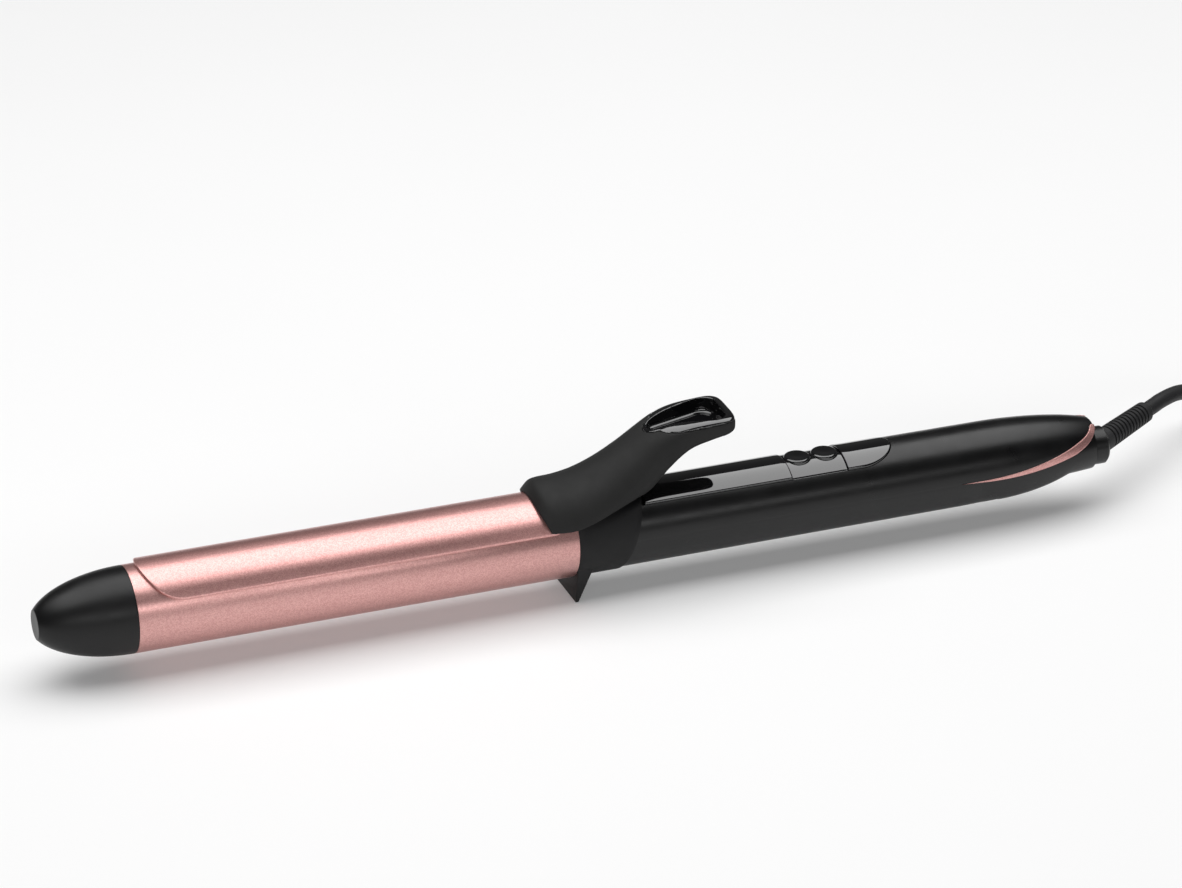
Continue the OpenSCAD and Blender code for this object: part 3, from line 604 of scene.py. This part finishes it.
def lever_body(name, sides=112, fineness=6):
    """The lever's solid outside, through the sections of the table."""
    rows = []
    for k in range((len(LEVER) - 1) * fineness + 1):
        x, wide, top, mid, low, p_top, p_low, lean = (
            curve_value(LEVER, k / fineness, c) for c in range(8)
        )
        row = []
        for i in range(sides):
            a = 2 * math.pi * i / sides
            upper = i < sides / 2
            y = wide * signed_pow(math.cos(a), 2 / (p_top if upper else p_low))
            if upper:
                z = mid + (top - mid) * signed_pow(math.sin(a), 2 / p_top)
            else:
                z = mid + (mid - low) * signed_pow(math.sin(a), 2 / p_low)
            row.append(at(COLLAR_X + x + lean * max(0, top - z) / 1.2, y, z))
        rows.append(row)
    return grid_mesh(name, rows, True, (True, True))


def dish_body(name, grow):
    """Hollow of the thumb rest: a flat floor with steep walls, round in front and wide behind."""
    shape = bmesh.new()
    for x, y, r in DISH_DISCS:
        for inset, z in DISH_WALL:
            for k in range(48):
                a = 2 * math.pi * k / 48
                reach = r + grow - inset
                shape.verts.new(at(
                    COLLAR_X + x + reach * math.cos(a), y + reach * math.sin(a), z - grow
                ))
    bmesh.ops.convex_hull(shape, input=shape.verts)
    loose = [v for v in shape.verts if not v.link_faces]
    bmesh.ops.delete(shape, geom=loose)
    bmesh.ops.recalc_face_normals(shape, faces=shape.faces)
    mesh = bpy.data.meshes.new(name)
    shape.to_mesh(mesh)
    shape.free()
    return mesh


def slab(name, corners_xz, half, top):
    """Everything above a sloping side-view line, across the wand."""
    (xa, za), (xb, zb) = corners_xz
    rows = [
        [at(x, half, z), at(x, -half, z), at(x, -half, top), at(x, half, top)]
        for x, z in ((xa, za), (xb, zb))
    ]
    return grid_mesh(name, rows, True, (True, True))


def make_lever():
    """The soft grip and the glossy bowl let into its top as the thumb rest."""
    bore = revolved("bore", [
        (TIP_LEN, 0), (TIP_LEN, LEVER_BORE_R), (HINGE_X - 4, LEVER_BORE_R),
        (BORE_END, LEVER_BORE_R + BORE_WIDENING), (BORE_END, 0),
    ], 160)
    pocket = slab("pocket", [(x, POCKET_Z[0]) for x in POCKET_X], POCKET_HALF, POCKET_Z[1])
    over = slab("over", RIM_LINE, 30, 60)
    mesh = carved("lever_grip", lever_body("lever"), [
        ("DIFFERENCE", bore), ("DIFFERENCE", pocket), ("DIFFERENCE", dish_body("seat", SEAT_T)),
        ("DIFFERENCE", over),
    ], 0.4, 2)
    smooth(mesh, 60)
    piece_from(mesh, "lever_grip", "soft_touch", "clamp", ("lever_cover",))
    lift = [(x, z + RIM_LIFT) for x, z in RIM_LINE]
    shell = carved("shell", dish_body("outer", CUP_T), [("UNION", slab("rim", lift, 30, 60))])
    cup = carved("thumb_cup", lever_body("lever"), [
        ("INTERSECT", shell), ("DIFFERENCE", dish_body("hollow", 0)),
        ("INTERSECT", slab("rear", [(COLLAR_X + 28, 30), (COLLAR_X + 70, 30)], 30, 60)),
    ], 0.32, 3)
    smooth(cup, 60)
    piece_from(cup, "thumb_cup", "gloss_black", "clamp", ("thumb_dish",))


# ---- handle ----

HANDLE_X = COLLAR_X + 20
HANDLE_R = 15.5
HANDLE_TAPER = 0.3
TAIL_X = COLLAR_X + 166
TAIL_END = COLLAR_X + 212
# The top shell and the trim end ahead of the tail's end, and so does the tail's end face
TOP_END = TAIL_END - 1.2
END_FACE_X = TAIL_END - 2.55
END_FACE_T = 1.5
TOP_T = 2.6
BOTTOM_T = 2
TAIL_T = 2.4
# From TAIL_X the top follows an ellipse, and the underside a shorter one that starts later
TOP_ELLIPSE = 60.5
UNDER_ELLIPSE = 35.5
UNDER_LATER = 5
# The top's rear edge is rounded off over its last stretch
END_ROUND = 1.6
END_ROUND_LEN = 1.8
# The trim's top edge climbs along one parabola, with a steeper one added near the end
TRIM_X = COLLAR_X + 152
TRIM_RISE_FROM = 160
TRIM_RISE = 260
TRIM_HOOK_FROM = 204
TRIM_HOOK = 0.035
TRIM_WIDE = 3.4
TRIM_PROUD = 0.25
TRIM_T = 2.6
# Sine of the angle where trim and shell's edge stop climbing, so the shell closes over the top
TRIM_END = 0.94
SEAM = 0.04
SWIVEL_Z = -1.5
HOUSING_R = 7.4
HOUSING_GAP = 0.03
PANEL_R = 15.65
PANEL_DEEP = 1.65
PANEL_END = COLLAR_X + 128
PANEL_FRONT = COLLAR_X + 27.5
PANEL_HALF = 10
RECESS_GAP = 0.3
RECESS_BELOW = 0.05
PANEL_ROUND = 14
PANEL_GAP = 0.15
# The middle panel, which holds the keys, lies lower than the other two
MIDDLE = (COLLAR_X + 85.8, COLLAR_X + 107.8)
MIDDLE_DROP = 0.5
BUTTONS = [(MIDDLE[0] + MIDDLE[1]) / 2 - 5.4, (MIDDLE[0] + MIDDLE[1]) / 2 + 5.4]
KEY_FLAT_R = 4.1
KEY_EDGE = 1
KEY_R = 5.1
KEY_TOP = 15.75
KEY_UNDER = 12.2
KEY_HOLE_R = 5.25
STEM_R = 1.5
STEM_LOW = 8.85
WING_HALF = 2
WING_REACH = 6.8
WING_Z = (11.2, 12)


def tail_radius(x, later, ellipse):
    if x < TAIL_X + later:
        return HANDLE_R - HANDLE_TAPER * (x - COLLAR_X) / (TAIL_X - COLLAR_X)
    return (HANDLE_R - HANDLE_TAPER) * math.sqrt(1 - ((x - TAIL_X - later) / ellipse) ** 2)


def upper_radius(x):
    return tail_radius(x, 0, TOP_ELLIPSE)


def lower_radius(x):
    return tail_radius(x, UNDER_LATER, UNDER_ELLIPSE)


def trim_top(x):
    rise = max(x - COLLAR_X - TRIM_RISE_FROM, 0) ** 2 / TRIM_RISE
    return rise + TRIM_HOOK * max(x - COLLAR_X - TRIM_HOOK_FROM, 0) ** 2


def trim_low(x):
    """The trim's lower edge: it widens over four fifths of its length, then narrows a little."""
    u = max(x - TRIM_X, 0) / (TAIL_END - TRIM_X)
    return trim_top(x) - TRIM_WIDE * min(u / 0.8, 1) * (1 - 0.3 * max(0, (u - 0.8) / 0.2))


def from_collar(x, z):
    """The station's place, fanned out from the collar's slanted edge."""
    front = COLLAR_BACK + SLANT * z + 0.05
    share = (x - HANDLE_X) / (TAIL_X - HANDLE_X)
    return x if share > 1 else front + (TAIL_X - front) * share


def tail_stations(start, end):
    """Stations that crowd together towards the rounded tail."""
    return [start + (end - start) * math.sin(math.pi / 2 * k / 44) for k in range(45)]


def shell_of(name, section, xs, thick):
    """A shell from rows of outline points, with its wall inside them."""
    rows = [section(x) for x in xs]
    mesh = grid_mesh(name, rows)
    holder = linked(name, mesh)
    wall = holder.modifiers.new("wall", "SOLIDIFY")
    wall.thickness, wall.offset = thick * MM, -1
    solid = evaluated(holder)
    bpy.data.objects.remove(holder)
    bpy.data.meshes.remove(mesh)
    return solid


def upper_section(x, columns=96):
    """The top shell's outline, from one seam over the top to the other."""
    r = upper_radius(x) - END_ROUND * max(0, x - TAIL_END + END_ROUND_LEN) ** 2
    low = math.asin(min(trim_top(x) / r, TRIM_END))
    row = []
    for k in range(columns + 1):
        angle = low + (math.pi - 2 * low) * k / columns
        edge = min(k, columns - k)
        trim = 0 if edge else SEAM
        y, z = (r - trim) * math.cos(angle), (r - trim) * math.sin(angle)
        row.append(at(from_collar(x, z), y, max(z, 0.01)))
    return row


def lower_section(x, columns=96):
    """The bottom's outline: a little narrower at the tail, and never inside the swivel."""
    wide = upper_radius(x) - 0.15 * min(max((x - TAIL_X + 10) / 6, 0), 1)
    if x < TAIL_X + UNDER_LATER:
        deep = wide
    else:
        deep = max(lower_radius(min(x, TAIL_X + 33)), HOUSING_R + 0.8)
    limit = trim_low(x)
    low = math.asin(max(-1, min(1, -limit / (wide if limit > 0 else deep))))
    row = []
    for k in range(columns + 1):
        angle = low + (math.pi - 2 * low) * k / columns
        edge = min(k, columns - k)
        trim = 0 if edge else SEAM
        y = (wide - trim) * math.cos(angle)
        z = -(wide if angle < 0 or angle > math.pi else deep) * math.sin(angle)
        row.append(at(from_collar(x, z), y, z - 0.01))
    return row


def make_handle():
    """The top shell with its recess for the panel, the bottom shell and the tail."""
    lip = [HANDLE_X, HANDLE_X + 0.25]
    xs = lip + steps(HANDLE_X + 4, TAIL_X, 30) + tail_stations(TAIL_X, TOP_END)[1:]
    upper = shell_of("upper", upper_section, xs, TOP_T)
    outline = [(COLLAR_X + 24, PANEL_HALF + RECESS_GAP)] + panel_outline(RECESS_GAP)
    cutter = grid_mesh("recess", sheet_rings(
        outline, [(0, 20), (0, PANEL_R - PANEL_DEEP - RECESS_BELOW)], 40, over_panel
    ), True, (True, False))
    upper = carved("handle_top", upper, [("DIFFERENCE", cutter)])
    smooth(upper, 32)
    piece_from(upper, "handle_top", "handle_plastic", "root", ("handle_upper",))
    xs = lip + steps(HANDLE_X + 4, TAIL_X - 6, 28)
    lower = shell_of("handle_bottom", lower_section, xs, BOTTOM_T)
    smooth(lower, 32)
    piece_from(lower, "handle_bottom", "handle_plastic", "root", ("handle_lower",))
    xs = steps(TAIL_X - 5.97, TAIL_END - 3.2, 48) + [TAIL_END - 2.8, TAIL_END - 2.5, TAIL_END - 2.4]
    tail = shell_of("tail", lower_section, xs, TAIL_T)
    tail = joined("tail_end", [tail, tail_plate()])
    smooth(tail, 32)
    piece_from(tail, "tail_end", "handle_plastic", "root", ("tail_cap",))


def tail_plate():
    """The end face of the tail, round the swivel's housing."""
    x, sides = END_FACE_X, 96
    wide = upper_radius(x) - 0.6
    deep = HOUSING_R + 0.5
    limit = trim_low(x) - 0.2
    rings = []
    back_edges = ((END_FACE_T, True), (END_FACE_T, False))
    for back, outer in ((0, False), (0, True), *back_edges, (0, False)):
        ring = []
        for k in range(sides):
            a = 2 * math.pi * k / sides
            if outer:
                y = wide * math.cos(a)
                z = min((wide if a < math.pi else deep) * math.sin(a), limit)
            else:
                y = (HOUSING_R + HOUSING_GAP) * math.cos(a)
                z = SWIVEL_Z + (HOUSING_R + HOUSING_GAP) * math.sin(a)
            ring.append(at(x - back, y, z))
        rings.append(ring)
    return grid_mesh("plate", rings, around=True)


def make_trim():
    """The metallic crescent on both sides of the tail. The shell closes over it at the top."""
    xs = [TRIM_X + (TOP_END - TRIM_X) * (k / 70) ** 1.15 for k in range(71)]

    def middle(x):
        r = upper_radius(x) + TRIM_PROUD
        low = math.asin(min(trim_low(x) / r, TRIM_END))
        high = math.asin(min(trim_top(x) / r, TRIM_END))
        return (low + high) / 2, (high - low) / 2 * r

    outline = [(x, max(middle(x)[1] - 0.03, 0)) for x in xs]
    edge = rounding(0.22)
    profile = [(inset, TRIM_PROUD - deep) for inset, deep in edge] + [(0, -TRIM_T)]
    parts = []
    for side in (-1, 1):
        def place(x, sideways, height):
            r = upper_radius(x) + TRIM_PROUD
            angle = middle(x)[0] + sideways / r
            r += height - TRIM_PROUD
            return at(x, side * r * math.cos(angle), r * math.sin(angle))
        parts.append(grid_mesh(
            "strip", sheet_rings(outline, profile, 10, place, back=True), True, (False, True)
        ))
    mesh = joined("trim_crescent", parts)
    smooth(mesh, 40)
    piece_from(mesh, "trim_crescent", "rose_gold", "root", ("trim_band",))


# ---- panel and buttons ----


def over_panel(x, sideways, height):
    """A place on the panel's rounded face, whose radius is the height."""
    return at(x, sideways, math.sqrt(max(height ** 2 - sideways ** 2, 0)))


def panel_outline(grow, count=28):
    """The rounded rear end of the panel, as (x, half width)."""
    centre, reach, half = PANEL_END - PANEL_ROUND, PANEL_ROUND + grow, PANEL_HALF + grow
    angles = [math.pi / 2 * (1 - k / count) for k in range(count + 1)]
    return [
        (centre + reach * math.cos(a), half * max(math.sin(a), 0) ** 0.85) for a in angles
    ]


def panel_profile(drop):
    """Rounded edge and straight side of a panel whose face lies lower by the drop."""
    top = PANEL_R - drop
    return [(inset, top - deep) for inset, deep in rounding(0.35, 5)] + [(0, PANEL_R - PANEL_DEEP)]


def make_panel():
    front = [(x, PANEL_HALF) for x in steps(PANEL_FRONT, MIDDLE[0] - PANEL_GAP, 30)]
    middle = [(x, PANEL_HALF) for x in steps(*MIDDLE, 16)]
    rear = [(MIDDLE[1] + PANEL_GAP, PANEL_HALF), (MIDDLE[1] + 3, PANEL_HALF)] + panel_outline(0)
    front_mesh = grid_mesh("panel_long", sheet_rings(
        front, panel_profile(0), 48, over_panel, True, True
    ), True, (True, True))
    rear_mesh = grid_mesh("panel_end", sheet_rings(
        rear, panel_profile(0), 48, over_panel, True, False
    ), True, (True, False))
    middle_mesh = grid_mesh("panel_keys", sheet_rings(
        middle, panel_profile(MIDDLE_DROP), 48, over_panel, True, True
    ), True, (True, True))
    hole = [(0, 5), (KEY_HOLE_R, 5), (KEY_HOLE_R, 25), (0, 25)]
    holes = [("DIFFERENCE", stood("hole", x, hole)) for x in BUTTONS]
    middle_mesh = carved("panel_keys", middle_mesh, holes)
    for mesh, node in (
        (front_mesh, "panel_front"), (middle_mesh, "panel_middle"), (rear_mesh, "panel_rear")
    ):
        smooth(mesh, 32)
        piece_from(mesh, mesh.name, "gloss_black", "root", (node,))


def stood(name, x, profile, sides=96):
    """A surface of revolution about an upright axis from (radius, height) points."""
    rows = [
        [
            at(x + r * math.cos(2 * math.pi * k / sides), r * math.sin(2 * math.pi * k / sides), z)
            for k in range(sides)
        ]
        for r, z in profile
    ]
    return grid_mesh(name, rows, around=True)


def make_buttons():
    """Round keys with a faint finger hollow, retaining wings and a stem over the switch."""
    for x, node in zip(BUTTONS, ("power_button", "temperature_button")):
        top = [
            (r, KEY_TOP - 0.3 * math.exp(-(r / 2.4) ** 2)) for r in steps(0, KEY_FLAT_R, 16)
        ]
        edge = [
            (KEY_FLAT_R + KEY_EDGE * math.sin(a), KEY_TOP - KEY_EDGE + KEY_EDGE * math.cos(a))
            for a in (math.radians(d) for d in range(10, 91, 10))
        ]
        stem = [(KEY_R, KEY_UNDER), (STEM_R, KEY_UNDER), (STEM_R, STEM_LOW), (0, STEM_LOW)]
        cap = stood("cap", x, top + edge + stem)
        fore, aft, half = x - WING_HALF, x + WING_HALF, WING_REACH
        wings = bevelled_block([
            [(fore, half, z), (aft, half, z), (aft, -half, z), (fore, -half, z)] for z in WING_Z
        ], 0.15)
        name = node.replace("button", "key")
        mesh = joined(name, [cap, wings])
        smooth(mesh, 32)
        piece_from(mesh, name, "gloss_black", node, (node,))


# ---- plug ----


NECK_R = 4.2
RIB_HIGH = 0.35
# Shares of the plug's length: its ribs, the neck widening, and where its rear rounds off
RIBBED = 0.2
RIBS_A_LENGTH = 22
WIDENED = 0.42
ROUNDED_FROM = 0.93


def make_plug():
    """A moulded flat plug with a ribbed neck, on the end of the cord."""
    low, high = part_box("plug_body")
    y, z, x0 = (low.y + high.y) / 2, (low.z + high.z) / 2, low.x
    length, wide, thick = high.x - low.x, (high.y - low.y) / 2, (high.z - low.z) / 2
    rows = []
    neck = NECK_R * MM
    for k in range(73):
        share = k / 72
        rise = min(max(share / WIDENED, 0), 1)
        rise = rise * rise * (3 - 2 * rise)
        wave = math.sin(share * 2 * math.pi * RIBS_A_LENGTH)
        rib = RIB_HIGH * MM * max(0, wave) if share < RIBBED else 0
        end = 1 - 0.07 * max(0, (share - ROUNDED_FROM) / 0.07) ** 2
        half_w = (neck + (wide - neck) * rise) * end - rib
        half_t = (neck + (thick - neck) * rise) * end - rib
        power = 2 + 1.4 * rise
        rows.append([
            Vector((
                x0 + length * share,
                y + half_w * signed_pow(math.cos(a), 2 / power),
                z + half_t * signed_pow(math.sin(a), 2 / power),
            )) for a in (2 * math.pi * i / 96 for i in range(96))
        ])
    mesh = grid_mesh("plug_shell", rows, True, (True, True))
    smooth(mesh, 40)
    piece_from(mesh, "plug_shell", "plug_plastic", "root", ("plug_body",))
    return bpy.data.objects["plug_shell"]


# ---- cord ----

CORD_D = 6.0
RELIEF_ANGLE = math.radians(33)
RELIEF_LEN = 36
RELIEF_WAY = Vector((math.cos(RELIEF_ANGLE), math.sin(RELIEF_ANGLE), 0))
RELIEF_END = Vector((205.5, 0, 22)) + RELIEF_LEN * RELIEF_WAY
LEAD = [RELIEF_END + RELIEF_WAY * away for away in (0.3, 6, 12)] + [
    Vector(p) for p in (
        (254, 31.3, 21), (262, 36, 18.4), (270, 40.2, 14.4), (278, 44, 10), (286, 47.6, 6.6),
        (294, 51, 4.6), (302, 53.8, 4), (310, 55.8, 4), (318, 56.8, 4),
    )
]
TAIL = [
    Vector(p) for p in (
        (366, 57, 10), (374, 57, 10), (382, 57, 10.2), (390, 57, 10.7), (405, 53, 12),
        (416, 42, 13.4), (420, 27, 14.8), (416, 12, 16), (405, 1, 16.9), (390, -3, 17.4),
        (374, -3, 17.4), (358, -3, 17.4), (342, -3, 17.4), (326, -3, 17.4), (315, 0, 17.5),
        (307, 8, 17.8), (304, 19, 18.3), (307, 30, 19.2), (315, 38, 20.4), (325, 41, 21.2),
        (333.7, 41, 21.5),
    )
]
HANK_MID = (358, 26)
HANK_HALF_RUN = 31.5
HANK_OUTER = 31
# Where a turn moves sideways or climbs, in sides from the start: a turn is a run, a fold,
# a run and a fold, so it counts four
RADIUS_CHANGES = [(3, 4, 24.9), (7, 8, 18.8), (13.4, 14.4, 24.9), (17.4, 18.4, 31)]
HEIGHT_CHANGES = [(10.2, 11, 10)]
FULL_SIDES = 20
STEPS_A_SIDE = 28


def after_changes(t, value, changes):
    for start, end, new in changes:
        share = min(max((t - start) / (end - start), 0), 1)
        value += (new - value) * (1 - math.cos(math.pi * share)) / 2
    return value


def hank_point(t):
    side, u = int(t) % 4, t - int(t)
    radius = after_changes(t, HANK_OUTER, RADIUS_CHANGES)
    z = after_changes(t, 4, HEIGHT_CHANGES)
    left, right, mid = HANK_MID[0] - HANK_HALF_RUN, HANK_MID[0] + HANK_HALF_RUN, HANK_MID[1]
    if side == 0:
        return Vector((left + (right - left) * u, mid + radius, z))
    if side == 2:
        return Vector((right - (right - left) * u, mid - radius, z))
    angle = math.radians((90 if side == 1 else 270) - 180 * u)
    centre = right if side == 1 else left
    return Vector((centre + radius * math.cos(angle), mid + radius * math.sin(angle), z))


def hank_turns():
    """The hank's turns, up to the place where the tail leaves the last of them."""
    run = 2 * HANK_HALF_RUN
    last = FULL_SIDES + (TAIL[0].x - (HANK_MID[0] - HANK_HALF_RUN)) / run
    count = int(last * STEPS_A_SIDE)
    return [hank_point(k / STEPS_A_SIDE) for k in range(count)]


def through(points, steps=6):
    """A smooth line through given points."""
    fine = []
    for k in range((len(points) - 1) * steps + 1):
        fine.append(Vector([curve_value(points, k / steps, c) for c in range(3)]))
    return fine


def make_cord():
    start = hank_turns()
    line = through(LEAD + [start[0]])[:-1] + start + through(TAIL)
    curve = bpy.data.curves.new("mains_cord", "CURVE")
    curve.dimensions = "3D"
    curve.bevel_depth = CORD_D / 2 * MM
    curve.bevel_resolution = 6
    curve.use_fill_caps = True
    spline = curve.splines.new("POLY")
    spline.points.add(len(line) - 1)
    for point, place in zip(spline.points, line):
        point.co = (*(place * MM), 1)
    spline.use_smooth = True
    drawn = linked("drawn", curve)
    mesh = evaluated(drawn)
    bpy.data.objects.remove(drawn)
    mesh.name = "mains_cord"
    mesh.materials.clear()
    mesh.materials.append(MADE["cord_rubber"])
    smooth(mesh, 60)
    cord = linked("mains_cord", mesh)
    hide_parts("cord_lead", "cord_hank", "cord_tail")
    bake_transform(cord)
    return cord, line


def make_tie():
    """A hook-and-loop strap round the hank, with rounded corners."""
    low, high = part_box("cord_tie")
    thick, corner, count = 0.9 * MM, 4.2 * MM, 8
    outline = []
    for sy, sz, start in ((1, 1, 0), (-1, 1, 90), (-1, -1, 180), (1, -1, 270)):
        cy = (high.y if sy > 0 else low.y) - sy * corner
        cz = (high.z if sz > 0 else low.z) - sz * corner
        for k in range(count + 1):
            angle = math.radians(start + 90 * k / count)
            outline.append((cy, cz, math.cos(angle), math.sin(angle)))
    rows = []
    for depth, x in ((0, low.x), (0, high.x), (thick, high.x), (thick, low.x), (0, low.x)):
        rows.append([
            Vector((x, cy + (corner - depth) * c, cz + (corner - depth) * s))
            for cy, cz, c, s in outline
        ])
    mesh = grid_mesh("cord_strap", rows, around=True)
    strap = piece_from(mesh, "cord_strap", "tie_plastic", "root", ("cord_tie",))
    bevelled(strap, 0.2, 2)
    return strap


def bevelled(piece, width, segments=3, angle=35):
    bevel = piece.modifiers.new("edges", "BEVEL")
    bevel.width = width * MM
    bevel.segments = segments
    bevel.limit_method = "ANGLE"
    bevel.angle_limit = math.radians(angle)
    bevel.harden_normals = False
    smooth(piece.data, 60)


make_camera()
MADE = make_materials()
dress_cad_nodes(MADE)
cord, cord_line = make_cord()
strap = make_tie()
plug = make_plug()
[tuple(p * MM) for p in cord_line]
make_tip()
make_barrel()
make_clamp_plate()
make_collar()
make_lever()
make_handle()
make_trim()
make_panel()
make_buttons()


# ---- floor and lights ----


FLOOR_HALF = 6.0
FLOOR_GAP = 0.0002
# The floor gives off a little light of its own, which softens the shadow
FLOOR_GLOW = 0.18
WORLD_LIGHT = 0.06


def make_stage():
    mesh = bpy.data.meshes.new("floor")
    half = FLOOR_HALF
    corners = [(-half, -half), (half, -half), (half, half), (-half, half)]
    mesh.from_pydata([(x, y, FLOOR_Z - FLOOR_GAP) for x, y in corners], [], [(0, 1, 2, 3)])
    floor = linked("floor", mesh)
    mesh.materials.append(surface(
        "floor", (0.72, 0.72, 0.72), 0.7, vary=0.01, wear=0.0, patch=2,
        Emission_Strength=FLOOR_GLOW
    ))


def area_light(name, place, aim, size, power):
    data = bpy.data.lights.new(name, "AREA")
    data.shape = "RECTANGLE"
    data.size, data.size_y = size
    data.energy = power
    light = linked(name, data)
    light.location = place
    light.rotation_euler = (Vector(aim) - Vector(place)).to_track_quat("-Z", "Y").to_euler()


def make_lights():
    world = bpy.data.worlds.new("studio")
    world.use_nodes = True
    world.node_tree.nodes["Background"].inputs["Color"].default_value = (1, 1, 1, 1)
    world.node_tree.nodes["Background"].inputs["Strength"].default_value = WORLD_LIGHT
    bpy.context.scene.world = world
    area_light("overhead", (0, 0.22, 1.45), (0, 0.05, 0), (2.6, 1.6), 36)
    area_light("front", (-0.3, -1.9, 0.75), (0, 0, 0), (2.6, 0.35), 10)
    bpy.context.scene.view_settings.view_transform = "Standard"


make_stage()
make_lights()
